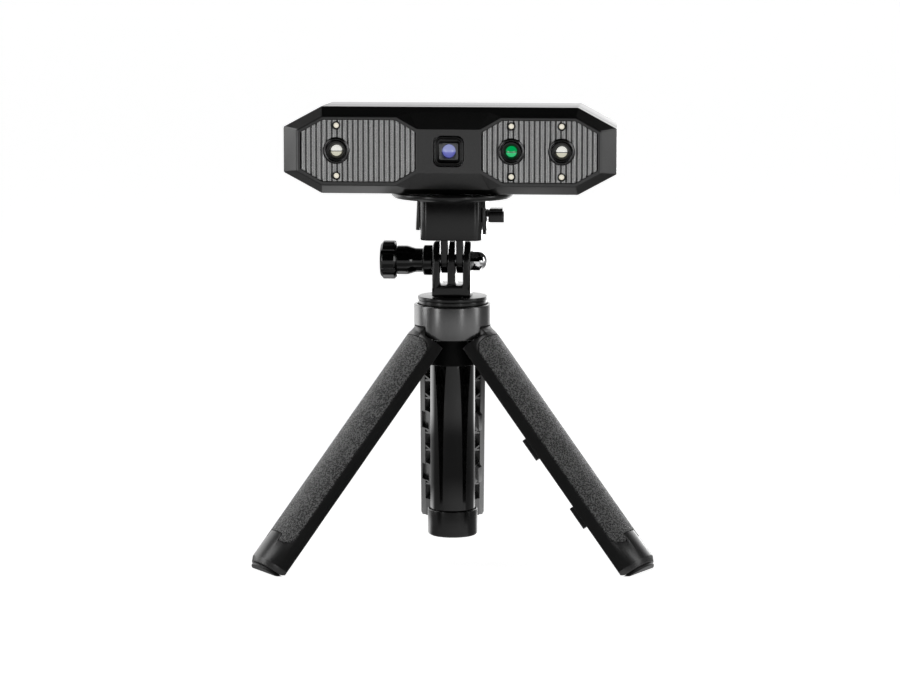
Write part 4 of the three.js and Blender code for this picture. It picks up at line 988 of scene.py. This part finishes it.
def leg_parts():
    """The shell, grip and foot pad of one leg in the folded leg's own frame."""
    recess = skin_zone(HANDLE_R - GRIP_DEPTH, HANDLE_R + PAST, GAP)
    shell = soften(cut(leg_body(), recess), 0.22, 2, 40)
    bases = tab_rows(-1, 10.9, 13.4, 2.4, -0.35, 0.6)
    tabs = [soften(tab, 0.2, 2) for tab in tab_rows(-1, 11.6, 13.2, 0.5, 1.3, 0)]
    pockets = tab_rows(1, 10.5, 13.4, 2.6, -0.35, 1.1)
    details = [truss(), knuckle(), *bases, *tabs, *pockets]
    shell = combine(shell, details, "UNION", overlapping=True)
    slots = tab_rows(1, 11.3, 14.4, 1.8, 2, GAP)
    shell = combine(shell, [*slots, below_table(0.5)], "DIFFERENCE", overlapping=True)
    grip = soften(skin_zone(HANDLE_R - GRIP_DEPTH + GAP, HANDLE_R, 0), 0.3, 3, 40)
    sole = foot_shape(FOOT_END_R - PAD_INSET, SIDE_GAP + PAD_INSET, FOOT_FLAT + PAD_INSET)
    pad = soften(prism(sole, -LEG_LONG - PAD_PROUD, -LEG_LONG - 0.05), 0.3, 3)
    return shell, grip, cut(pad, below_table(0))


def copy_of(thing):
    return added(thing.name, thing.data.copy())


def legs():
    parts = leg_parts()
    looks = (LEG, GRIP, RUBBER)
    kinds = ("leg_shell", "leg_grip", "foot_pad")
    for name in LEG_AZIMUTHS:
        matrix = leg_place(name)
        for thing, look, kind in zip(parts, looks, kinds):
            node = name + "_" + kind
            place(copy_of(thing), "dressed_" + node, name + "_leg", matrix, look, [node], 28)
        seat = POLE @ Matrix.Rotation(radians(LEG_AZIMUTHS[name]), 4, "Z")
        pin = shift(rod(PIN_R, -PIN_HALF, PIN_HALF, SMALL, "Y", 0.2), PIVOT_R, 0, PIVOT_Z)
        place(pin, name + "_pin", "stand", seat, STEEL, [name + "_leg_pin"])
    for thing in parts:
        drop(thing)


# Clevis and thumbscrew

CLEVIS_HALF = 7.5
CLEVIS_R = 7.5
CLEVIS_H = 13.5
CLEVIS_FOOT = 3.3
SLOT_AT = 3
BOLT_R = 2.3
NUT_FLATS = 7.3
NUT_SEAT = CLEVIS_HALF - 1.4
NUT_BASE = CLEVIS_HALF + 3.4
NUT_TIP = CLEVIS_HALF + 6.15
KNOB_R = 7.45
KNOB_EDGE_R = 6.35
KNOB_HUB_R = 5.65
KNOB_NECK_R = 4.65
KNOB_COLLAR_R = 5.9
KNOB_CHAMFER = 1.1
FLUTES = 6
FLUTE_R = 1.5
FLUTE_DEPTH = 0.7


def clevis_slot(centre):
    """A slot that widens from its round foot to its mouth."""
    foot, mouth = 1.6, 1.95
    right = [(foot, -9.2, 1), (foot, -2.3, 1.5), (mouth, 1.2, 1.5), (mouth, 10)]
    return shift(prism(round_corners(both_sides(right)), -10, 10, "Y"), centre)


def bolt_hole(low=-10, high=10):
    return rod(BOLT_R + GAP, low, high, PLAIN, "X")


def clevis():
    side = [(-CLEVIS_R, -CLEVIS_H), (CLEVIS_R, -CLEVIS_H), *arc(CLEVIS_R, 0, 1, 32)]
    half = CLEVIS_HALF
    body = soften(prism(side, -half, half, "X"), 1.15, 4, 40)
    foot = block((-half, half), (-CLEVIS_R, CLEVIS_R), (-CLEVIS_H, CLEVIS_FOOT - CLEVIS_H))
    body = join(body, soften(foot, 0.35, 3))
    body = cut(body, cluster(clevis_slot(-SLOT_AT), clevis_slot(SLOT_AT)))
    body = soften(body, 0.18, 2, 40)
    stud_hole = rod(STUD_R + GAP, -CLEVIS_H - 1, -CLEVIS_H + 3.6, PLAIN)
    seat = hexagon(NUT_FLATS + 2 * GAP, NUT_SEAT, half + PAST, "X")
    body = cut(body, stud_hole, bolt_hole(), seat)
    place(body, "clevis_body_piece", "clevis_body", YOKE, MATTE, ["clevis"], 30)


def cap_nut():
    seat = NUT_SEAT + GAP
    level = NUT_BASE - 0.3
    wide, narrow, crown = NUT_FLATS * 0.65, NUT_FLATS * 0.49, NUT_FLATS * 0.485
    chamfer = lathe([
        (0, seat - 1), (wide, seat - 1), (wide, NUT_BASE - 0.75), (narrow, NUT_BASE + 0.35),
        (0, NUT_BASE + 0.35),
    ], ROUND, "X")
    body = soften(common(hexagon(NUT_FLATS, seat, NUT_BASE, "X"), chamfer), 0.15, 2)
    curve = [(crown * x, level + (NUT_TIP - level) * z) for x, z in arc(1, 0, 0.5, 12)[:-1]]
    dome = lathe([(0, seat + 1), (crown, seat + 1), *curve, (0, NUT_TIP)], ROUND, "X")
    body = cut(join(body, dome), bolt_hole(seat - PAST, NUT_BASE))
    place(body, "nut", "clevis_body", YOKE, CHROME, ["cap_nut"], 24)


def thumbscrew():
    right = -CLEVIS_HALF - GAP
    collar = right - 3.5
    shoulder = collar - 10.2
    left = shoulder - 6.5
    dish = left + 0.35
    curve = []
    steps = 10
    for i in range(steps + 1):
        swell = (1 - cos(pi * i / steps)) / 2
        radius = KNOB_NECK_R + (KNOB_HUB_R - KNOB_NECK_R) * swell
        curve.append((radius, collar - 2.4 - 4.4 * i / steps))
    body = lathe([
        (0, right), (KNOB_COLLAR_R, right, 0.3), (KNOB_COLLAR_R, collar, 0.55),
        (KNOB_NECK_R, collar, 0.4), *curve, (KNOB_HUB_R, shoulder, 0.3),
        (KNOB_EDGE_R, shoulder, 0.3), (KNOB_R, shoulder - KNOB_CHAMFER, 0.4),
        (KNOB_R, left + KNOB_CHAMFER, 0.4), (KNOB_EDGE_R, left, 0.3), (5.2, left, 0.2),
        (4.9, dish, 0.2), (0, dish),
    ], BROAD, "X")
    flutes = [
        shift(rod(FLUTE_R, left - 1, shoulder + GAP, SMALL, "X"), 0, y, z)
        for y, z in arc(KNOB_R + FLUTE_R - FLUTE_DEPTH, 1 / FLUTES, 2 - 1 / FLUTES, FLUTES - 1)
    ]
    body = soften(cut(body, cluster(*flutes)), 0.12, 2, 30)
    body = cut(body, bolt_hole(left + 3, right + 1))
    place(body, "knob", "thumbscrew", YOKE, GLOSS, ["thumbscrew_knob"], 26)
    bolt = rod(BOLT_R, left + 3 + GAP, NUT_BASE - GAP, PLAIN, "X", 0.3)
    place(bolt, "bolt", "thumbscrew", YOKE, STEEL, ["thumbscrew_bolt"])


# Quick release

TONGUE_HALF = 11.95
TONGUE_BACK = 11
TONGUE_WALL = 2.7
TONGUE_LOW = 8.65
TONGUE_TOP = 24.52
FINGER_R = 5
FINGER_HALF = 1.3
FLANGE_R = 23.87
FLANGE_SIDES = 140
FLANGE_LOW = TONGUE_TOP + GAP
FLANGE_TOP = FLANGE_LOW + 2.1
RECEIVER_TOP = FLANGE_LOW - GAP
RECEIVER_LOW = FLANGE_LOW - 12.4
RECEIVER_WALL = 2
ROOF = RECEIVER_TOP - 3.2
LATCH_MIDDLE = RECEIVER_TOP - 6.6
LATCH_RISE = 2.6
LATCH_HALF = 4
LATCH_LONG = 6.15
STEM_MIDDLE = LATCH_MIDDLE + 0.8
STEM_RISE = 1.3
STEM_HALF = 2
RAIL_LOW = RECEIVER_LOW + 1.6
RAIL_H = 1.8
WING_TOP = 13.3
WING_LOW = 13.85
SHANK_R = 3.1
SCREW_HEAD_R = 4.8


def latch_window(left, right, grow):
    low, high = STEM_MIDDLE - STEM_RISE - grow, STEM_MIDDLE + STEM_RISE + grow
    return block((left, right), (-STEM_HALF - grow, STEM_HALF + grow), (low, high))


def rail(side, grow):
    wing = TONGUE_HALF + GAP
    limits = sorted((side * (wing - 1 - grow), side * (wing + grow)))
    depth = (TONGUE_WALL - TONGUE_BACK - grow, TONGUE_BACK + grow)
    return block(limits, depth, (RAIL_LOW - grow, RAIL_LOW + RAIL_H + grow))


def finger(centre):
    shape = [(FINGER_R, TONGUE_LOW + 2), (-FINGER_R, TONGUE_LOW + 2), *arc(-FINGER_R, 0, 1, 28)]
    return soften(prism(shape, centre - FINGER_HALF, centre + FINGER_HALF, "X"), 0.25, 3, 40)


def tongue():
    half, front = TONGUE_HALF, -TONGUE_BACK
    back = TONGUE_BACK - RECEIVER_WALL - GAP
    shape = round_corners(both_sides([(half, front, 3.4), (half, back)]), 10)
    body = soften(prism(shape, TONGUE_LOW, TONGUE_TOP), 0.45, 3, 40)
    body = join(body, finger(-SLOT_AT), finger(SLOT_AT))
    depth = (front + TONGUE_WALL, back + PAST)
    room = block((-half - PAST, half + PAST), depth, (ROOF - GAP, TONGUE_TOP + PAST))
    window = latch_window(half - 2.6, half + PAST, GAP)
    body = cut(body, room, window, rail(1, GAP), rail(-1, GAP), bolt_hole())
    place(body, "tongue", "head", YOKE, MATTE, ["tongue_block"], 30)


def receiver():
    front, back = 3.1 - TONGUE_BACK, TONGUE_BACK
    low, top = (
        round_corners(both_sides([(half, front, 1.3), (half, back, 3.4)]), 10)
        for half in (WING_LOW, WING_TOP)
    )
    body = soften(loft("Z", (low, RECEIVER_LOW), (top, RECEIVER_TOP)), 0.35, 3, 40)
    inside = TONGUE_HALF + GAP
    depth = (front - 5, back - RECEIVER_WALL)
    room = block((-inside, inside), depth, (RECEIVER_LOW - PAST, ROOF))
    clamp = rod(SCREW_HEAD_R + GAP, ROOF - PAST, ROOF + 2)
    shank = rod(SHANK_R + GAP, ROOF, RECEIVER_TOP + PAST)
    window = latch_window(inside - GAP, WING_LOW + PAST, GAP)
    body = cut(body, room, clamp, shank, window)
    depth = (front + 0.3, front + 1.7)
    nub = block((inside, inside + 1.4), depth, (RECEIVER_LOW - 1.4, RECEIVER_LOW + GAP))
    body = join(body, rail(1, 0), rail(-1, 0), soften(nub, 0.3, 3))
    place(body, "receiver", "head", YOKE, MATTE, ["receiver_block"], 30)


def latch():
    wing = WING_LOW + GAP
    tip = wing + LATCH_LONG
    plan = round_corners([
        (wing, -LATCH_HALF, 0.3), (tip, -LATCH_HALF, 0.9), (tip, LATCH_HALF, 0.9),
        (wing, LATCH_HALF, 0.3),
    ])
    low, high = LATCH_MIDDLE - LATCH_RISE, LATCH_MIDDLE + LATCH_RISE
    lever = soften(prism(plan, low, high - 1), 0.3, 3, 40)
    half = LATCH_HALF - 0.5
    plate = soften(block((wing + 0.5, tip - 0.5), (-half, half), (high - 1.3, high)), 0.25, 3)
    stem = latch_window(TONGUE_HALF - 2.3, wing + GAP, 0)
    place(join(lever, plate, stem), "latch_lever", "latch", YOKE, MATTE, ["release_latch"], 30)


def flange():
    inside = SHANK_R + GAP
    body = lathe([
        (inside, FLANGE_LOW), (FLANGE_R - 1, FLANGE_LOW, 0.5), (FLANGE_R, FLANGE_LOW + 1, 0.5),
        (FLANGE_R, FLANGE_TOP, 0.3), (inside, FLANGE_TOP),
    ], FLANGE_SIDES)
    place(body, "flange", "head", YOKE, SMOOTH, ["mounting_flange"])
    tip = FLANGE_TOP + GAP + 5
    under = ROOF + 1.7
    screw = lathe([
        (0, ROOF), (SCREW_HEAD_R, ROOF, 0.4), (SCREW_HEAD_R, under, 0.3), (SHANK_R, under),
        (SHANK_R, tip, 0.4), (0, tip),
    ], FINE)
    screw = cut(screw, block((-7, 7), (-0.6, 0.6), (ROOF - PAST, ROOF + 1)))
    place(screw, "clamp_screw", "head", YOKE, STEEL, ["mounting_screw"])


# Scanner head, its parts in the frame of its middle, where it looks along -Y

HALF_W, HALF_H = 64.34, 16.83
FLAT, END = 49.48, 8.77
FRONT, BACK = -19.0, 21.3
FACE_W, FACE_H = 58.53, 13.28
FACE_FLAT, FACE_END = 48.93, 7.98
BEVEL_Y = FRONT + 4.2
SPLIT = FRONT + 10.7
WALL = 2
SCOOP_FOOT = (12.1, 8.4)
SCOOP_EDGE = (15.1, 14.15)
SCOOP_DEPTH = 3.3
PANEL_OUT, PANEL_OUT_FLAT, PANEL_OUT_END = 57.4, 48.7, 6.9
PANEL_IN, PANEL_IN_FLAT, PANEL_IN_END = 12.6, 20.7, 7.2
PANEL_H = 11.95
CAMERAS = {"left": -43.4, "colour": 24.07, "right": 43.4}
BARREL_R = 3.85
COLLAR_BORE = 4.12
COLLAR_EDGE_R = 5.2
LENS_R = 2.1
LIGHT_Z = 9.7
LIGHT_HOLE_R = 1.63
LAMP_R = 0.98
SCREWS = [(-50, -10.2), (-50, 10.2), (50, -10.2), (50, 10.2)]
SOCKET_X = 22
STATUS_X = -9


def octagon(half_width, half_height, flat, end):
    return both_sides([(flat, -half_height), (half_width, -end), (half_width, end), (flat, half_height)])


def outline(inset):
    """The head's outline, moved inwards."""
    run, rise = HALF_W - FLAT, HALF_H - END
    slant = hypot(run, rise)
    flat = FLAT - inset * (slant - run) / rise
    end = END - inset * (slant - rise) / run
    return octagon(HALF_W - inset, HALF_H - inset, flat, end)


def drill(radius, low, high, sides, x=0, z=0):
    """A round tool or post along the head's depth."""
    return shift(rod(radius, low, high, sides, "Y"), x, 0, z)


def cushion(half_width, half_height, radius, low, high, steps=8):
    """A rounded rectangle pulled along the head's depth."""
    return prism(rectangle(half_width, half_height, radius, steps), low, high, "Y")


def dome(radius, front, rise, back, steps=8, sides=FINE):
    """A small lens with a round front."""
    profile = [(radius * i / steps, front + rise * (i / steps) ** 2) for i in range(steps + 1)]
    return lathe([*profile, (radius, back), (0, back)], sides, "Y")


def scoop(side):
    """The wedge that hollows the middle of the face above or below the projector."""
    shoulder = (PANEL_IN_FLAT, FACE_H)
    wide, tall = (2 * far - near for far, near in zip(shoulder, SCOOP_FOOT))
    edge, high = (2 * far - near for far, near in zip(SCOOP_EDGE, SCOOP_FOOT))
    near = FRONT - 10
    corners = [
        (*SCOOP_FOOT, FRONT), (edge, high, FRONT + SCOOP_DEPTH), (wide, tall, FRONT),
        (*SCOOP_FOOT, near), (wide, tall, near),
    ]
    return hull([(mirror * x, y, side * z) for mirror in (-1, 1) for x, z, y in corners])


def light_holes(places, back, sides):
    return cluster(*[
        drill(LIGHT_HOLE_R, FRONT - PAST, back, sides, x, side * LIGHT_Z)
        for x in places for side in (-1, 1)
    ])


def panel_shape(side, shrink):
    outer, inner, high = PANEL_OUT - shrink, PANEL_IN + shrink, PANEL_H - shrink
    lower = [
        (inner, -PANEL_IN_END), (PANEL_IN_FLAT, -high), (PANEL_OUT_FLAT, -high),
        (outer, -PANEL_OUT_END),
    ]
    return [(side * x, z) for x, z in lower] + [(side * x, -z) for x, z in lower[::-1]]


def front_housing():
    back = SPLIT - GAP
    near = FRONT - PAST
    face = octagon(FACE_W, FACE_H, FACE_FLAT, FACE_END)
    body = soften(loft("Y", (face, FRONT), (outline(0), BEVEL_Y), (outline(0), back)), 0.45, 4)
    inside = outline(WALL)
    hollow = loft("Y", (outline(3.7), FRONT + 3.7), (inside, BEVEL_Y + 0.5), (inside, back + PAST))
    recesses = [prism(panel_shape(side, 0), near, FRONT + 2.7, "Y") for side in (-1, 1)]
    opening = cushion(6, 6, 2.9, near, FRONT + 6, 6)
    body = soften(cut(body, scoop(1), scoop(-1)), 0.2, 2, 14)
    body = soften(cut(body, *recesses, opening), 0.12, 2, 40)
    places = CAMERAS.values()
    holes = [drill(BARREL_R + GAP, near, FRONT + 6, PLAIN, x) for x in places]
    body = cut(body, hollow, cluster(*holes, light_holes(places, FRONT + 6, TINY)))
    place(body, "front_shell", "head", HEAD, HOUSING, ["front_housing"], 4)


RIB_PITCH = 2.04
RIB_DEPTH = 0.75
RIB_FULLNESS = 0.62
PANEL_MARGIN = 0.15


def wave(left, right, back, crest):
    """Rounded ribs with narrow grooves, side by side."""
    steps = 12
    total = round((right - left) / RIB_PITCH) * steps
    points = [(left, back)]
    for i in range(total + 1):
        rise = abs(sin(pi * i / steps)) ** RIB_FULLNESS
        points.append((left + (right - left) * i / total, crest + RIB_DEPTH * (1 - rise)))
    points.append((right, back))
    return points


def camera_collar(name, x, back):
    """The dark ring round a camera, with a chamfer outside and inside."""
    face = FRONT - 0.35
    ring = lathe([
        (0, face), (4.5, face, 0.12), (COLLAR_EDGE_R, FRONT + 0.4, 0.25), (COLLAR_EDGE_R, back),
        (0, back),
    ], ROUND, "Y")
    mouth = COLLAR_BORE + 0.23
    hole = lathe([
        (0, FRONT - PAST), (mouth, FRONT - PAST), (mouth, face + 0.01), (COLLAR_BORE, FRONT - 0.1),
        (COLLAR_BORE, BACK), (0, BACK),
    ], ROUND, "Y")
    ring = cut(shift(ring, x), shift(hole, x))
    place(ring, name + "_collar", "head", HEAD, COLLAR_DARK, limit=30)


def ribbed_panel(side, name, node):
    crest, back = FRONT + 0.2, FRONT + 2.4
    near, far = PANEL_IN + PANEL_MARGIN, PANEL_OUT - PANEL_MARGIN
    left, right = sorted((side * near, side * far))
    plate = prism(wave(left, right, back, crest), -HALF_H, HALF_H)
    plate = common(plate, prism(panel_shape(side, PANEL_MARGIN), FRONT - PAST, BACK, "Y"))
    cameras = {camera: x for camera, x in CAMERAS.items() if x * side > 0}
    holes = [drill(COLLAR_EDGE_R, FRONT - PAST, BACK, ROUND, x) for x in cameras.values()]
    plate = cut(cut(plate, cluster(*holes)), light_holes(cameras.values(), BACK, 40))
    for camera, x in cameras.items():
        camera_collar(camera, x, back)
    place(plate, name, "head", HEAD, PANEL, [node], 28)


def eyes():
    front = FRONT - 0.1
    seat = front + 0.9
    # Painted reflection of each lens: the colour of its upper half, then of its lower half. The green
    # lens's own colour is in both halves.
    white = ((1.0, 1.0, 0.94), (0.72, 0.7, 0.56))
    painted_reflection_tints = {"left": white, "colour": ((0.0, 0.42, 0.1), (0.03, 0.62, 0.2)), "right": white}
    for name, x in CAMERAS.items():
        barrel = lathe([
            (0, seat + 2.7), (2.4, seat + 2.7), (2.4, seat + 0.05, 0.1), (3.05, front + 0.1, 0.15),
            (BARREL_R, front, 0.2), (BARREL_R, front + 9.5), (0, front + 9.5),
        ], ROUND, "Y")
        place(shift(barrel, x), name + "_barrel", "head", HEAD, SMOOTH, [name + "_camera_barrel"], 30)
        lens = shift(dome(LENS_R, seat - 0.3, 0.7, seat + 2.4), x)
        look = lens_with_painted_reflection(name + "_glass", *painted_reflection_tints[name])
        place(lens, name + "_lens", "head", HEAD, look, [name + "_camera_lens"], 40)
        fill_light(name + "_upper", x, LIGHT_Z)
        fill_light(name + "_lower", x, -LIGHT_Z)


def fill_light(name, x, z):
    front = FRONT + 0.5
    lamp = dome(LAMP_R, front, 0.7, front + 4.2, 6, SMALL)
    place(shift(lamp, x, 0, z), name + "_lamp", "head", HEAD, LIGHT, [name + "_fill_light"])
    inner, outer, back = LAMP_R + 0.05, LIGHT_HOLE_R - 0.05, FRONT + 3
    sleeve = lathe([
        (inner, FRONT + 0.4, 0.1), (outer, FRONT + 0.05, 0.1), (outer, back), (inner, back),
    ], SMALL, "Y")
    place(shift(sleeve, x, 0, z), name + "_sleeve", "head", HEAD, SMOOTH)


PROJECTOR_HALF = 5.7
PROJECTOR_LENS_R = 2.5


def projector():
    front, back = FRONT - 0.3, FRONT + 4.6
    bezel = soften(cushion(PROJECTOR_HALF, PROJECTOR_HALF, 2.7, front, back), 0.3, 3, 40)
    groove = cushion(5.25, 5.25, 2.4, front - 1, front + 0.25)
    groove = cut(groove, cushion(4.9, 4.9, 2.1, front - PAST, front + 1))
    bezel = cut(bezel, groove, cushion(4.5, 4.5, 1.7, front - 1, front + 2.2))
    bezel = soften(bezel, 0.12, 2, 40)
    bezel = cut(bezel, drill(PROJECTOR_LENS_R + GAP, front, back + PAST, FINE))
    place(bezel, "projector_bezel", "head", HEAD, SMOOTH, ["projector_frame"], 30)
    seat = front + 0.9
    pane = cushion(3.6, 3.3, 0.5, seat, seat + 1, 4)
    pane = cut(pane, drill(PROJECTOR_LENS_R + GAP, seat - PAST, seat + PAST, FINE))
    place(soften(pane, 0.1, 2, 40), "projector_pane", "head", HEAD, pane_look(), ["projector_window"])
    face = seat + GAP
    # Painted reflection on the blue coating: the upper half, the lower half and the line between them,
    # with a painted shine from emission.
    painted_light_half, painted_dark_half, line = (0.5, 0.55, 1.0), (0.2, 0.22, 0.72), (0.4, 0.44, 1.0)
    look = lens_with_painted_reflection("projector_painted_reflection", painted_light_half, painted_dark_half, line, 0.45)
    lens = dome(PROJECTOR_LENS_R, face, 0.8, face + 5)
    place(lens, "projector_eye", "head", HEAD, look, ["projector_lens"], 40)


BUTTON_R = 4.5
INSERT_R = 5.2
STATUS_R = 1.1


def sunk(radius, depth, lip, sides):
    """A round hole in the back with a chamfered mouth."""
    wide = radius + 0.3
    return lathe([
        (0, BACK - depth), (radius, BACK - depth), (radius, BACK - lip), (wide, BACK + 0.3 - lip),
        (wide, BACK + PAST), (0, BACK + PAST),
    ], sides, "Y")


def rear_housing():
    shoulder = BACK - 2.2
    body = loft("Y", (outline(0), SPLIT), (outline(0.6), shoulder), (outline(2.8), BACK))
    body = soften(body, 0.5, 4, 20)
    near, middle, far = (outline(WALL + inset) for inset in (0, 0.6, 2.8))
    hollow = loft("Y", (near, SPLIT - PAST), (middle, shoulder - WALL), (far, BACK - WALL))
    boss = rod(7.4, -HALF_H + 1, -HALF_H + 8.2, PLAIN)
    posts = [drill(2.6, SPLIT, BACK - 1.7, TINY, x, z) for x, z in SCREWS]
    body = join(cut(body, hollow), boss, *posts)
    caps = [shift(sunk(2.4, 2.1, 0.15, PLAIN), x, 0, z) for x, z in SCREWS]
    shanks = [drill(1.4, SPLIT - PAST, BACK, TINY, x, z) for x, z in SCREWS]
    insert = rod(INSERT_R + GAP, -HALF_H - PAST, -HALF_H + 6.8)
    rim = rod(6.3, -HALF_H - PAST, -HALF_H + 1.3)
    socket = shift(cushion(4.8, 1.95, 1.9, BACK - 4, BACK + PAST, 6), SOCKET_X)
    button = sunk(BUTTON_R + GAP, 4, 0.2, ROUND)
    lamp = drill(STATUS_R + GAP, BACK - 4, BACK + PAST, SMALL, STATUS_X)
    body = cut(body, cluster(*caps), cluster(*shanks), insert, rim, socket, button, lamp)
    place(body, "rear_shell", "head", HEAD, HOUSING, ["rear_housing"], 24)


def back_screws():
    tip, top = SPLIT - 4, BACK - 0.5
    neck = top - 1.3
    for i, (x, z) in enumerate(SCREWS, 1):
        screw = lathe([
            (0, tip), (1.1, tip, 0.3), (1.1, neck), (2.1, neck, 0.1), (2.1, top, 0.35), (0, top),
        ], PLAIN, "Y")
        screw = cut(screw, hexagon(1.15 * sqrt(3), top - 0.9, top + 1, "Y"))
        place(shift(screw, x, 0, z), f"screw_{i}", "head", HEAD, STEEL, [f"rear_screw_{i}"])


def cable_inlet():
    top = BACK - 0.4
    shell = cut(cushion(4.5, 1.65, 1.6, BACK - 7.7, top), cushion(4.1, 1.25, 1.2, top - 7, top + 1))
    plate = soften(cushion(3.3, 0.4, 0.1, top - 7.3, top - 0.8, 2), 0.08, 2, 40)
    shell = join(soften(shell, 0.08, 2, 40), plate)
    place(shift(shell, SOCKET_X), "cable_inlet", "head", HEAD, STEEL, ["usb_socket"])


def back_details():
    back_screws()
    cable_inlet()
    face = BACK + 0.6
    foot, ledge = BACK - 3.1, BACK - 2.3
    button = lathe([
        (0, 14.4), (1.5, 14.4), (1.5, foot), (5.3, foot, 0.1), (5.3, ledge, 0.1), (BUTTON_R, ledge),
        (BUTTON_R, face, 0.4), (3.6, face, 0.2), (2.4, face - 0.22, 1), (0, face - 0.3),
    ], ROUND, "Y")
    place(button, "push_button", "button", HEAD, SMOOTH, ["scan_button"])
    tip = BACK - 0.15
    lamp = lathe([(0, BACK - 6), (STATUS_R, BACK - 6), (STATUS_R, tip, 0.35), (0, tip)], SMALL, "Y")
    place(shift(lamp, STATUS_X), "status_lamp", "head", HEAD, LIGHT, ["status_light"])
    low = -HALF_H + 0.15
    step, top = low + 1, low + 6.5
    insert = lathe([
        (3.4, low, 0.25), (6, low, 0.15), (6, step, 0.1), (INSERT_R, step), (INSERT_R, top, 0.2),
        (3.4, top, 0.2),
    ], FINE)
    place(insert, "thread_insert", "head", HEAD, BRASS, ["tripod_insert"])


def inner_parts():
    for name, look in (("optical_bench", STEEL), ("main_board", board_material())):
        for slot in frame["nodes"][name].material_slots:
            slot.material = look


make_stage()
collar_ring()
leg_hub()
pole()
pole_head()
legs()
clevis()
cap_nut()
thumbscrew()
tongue()
receiver()
latch()
flange()
front_housing()
ribbed_panel(-1, "ribs_left", "left_ribbed_panel")
ribbed_panel(1, "ribs_right", "right_ribbed_panel")
eyes()
projector()
rear_housing()
back_details()
inner_parts()
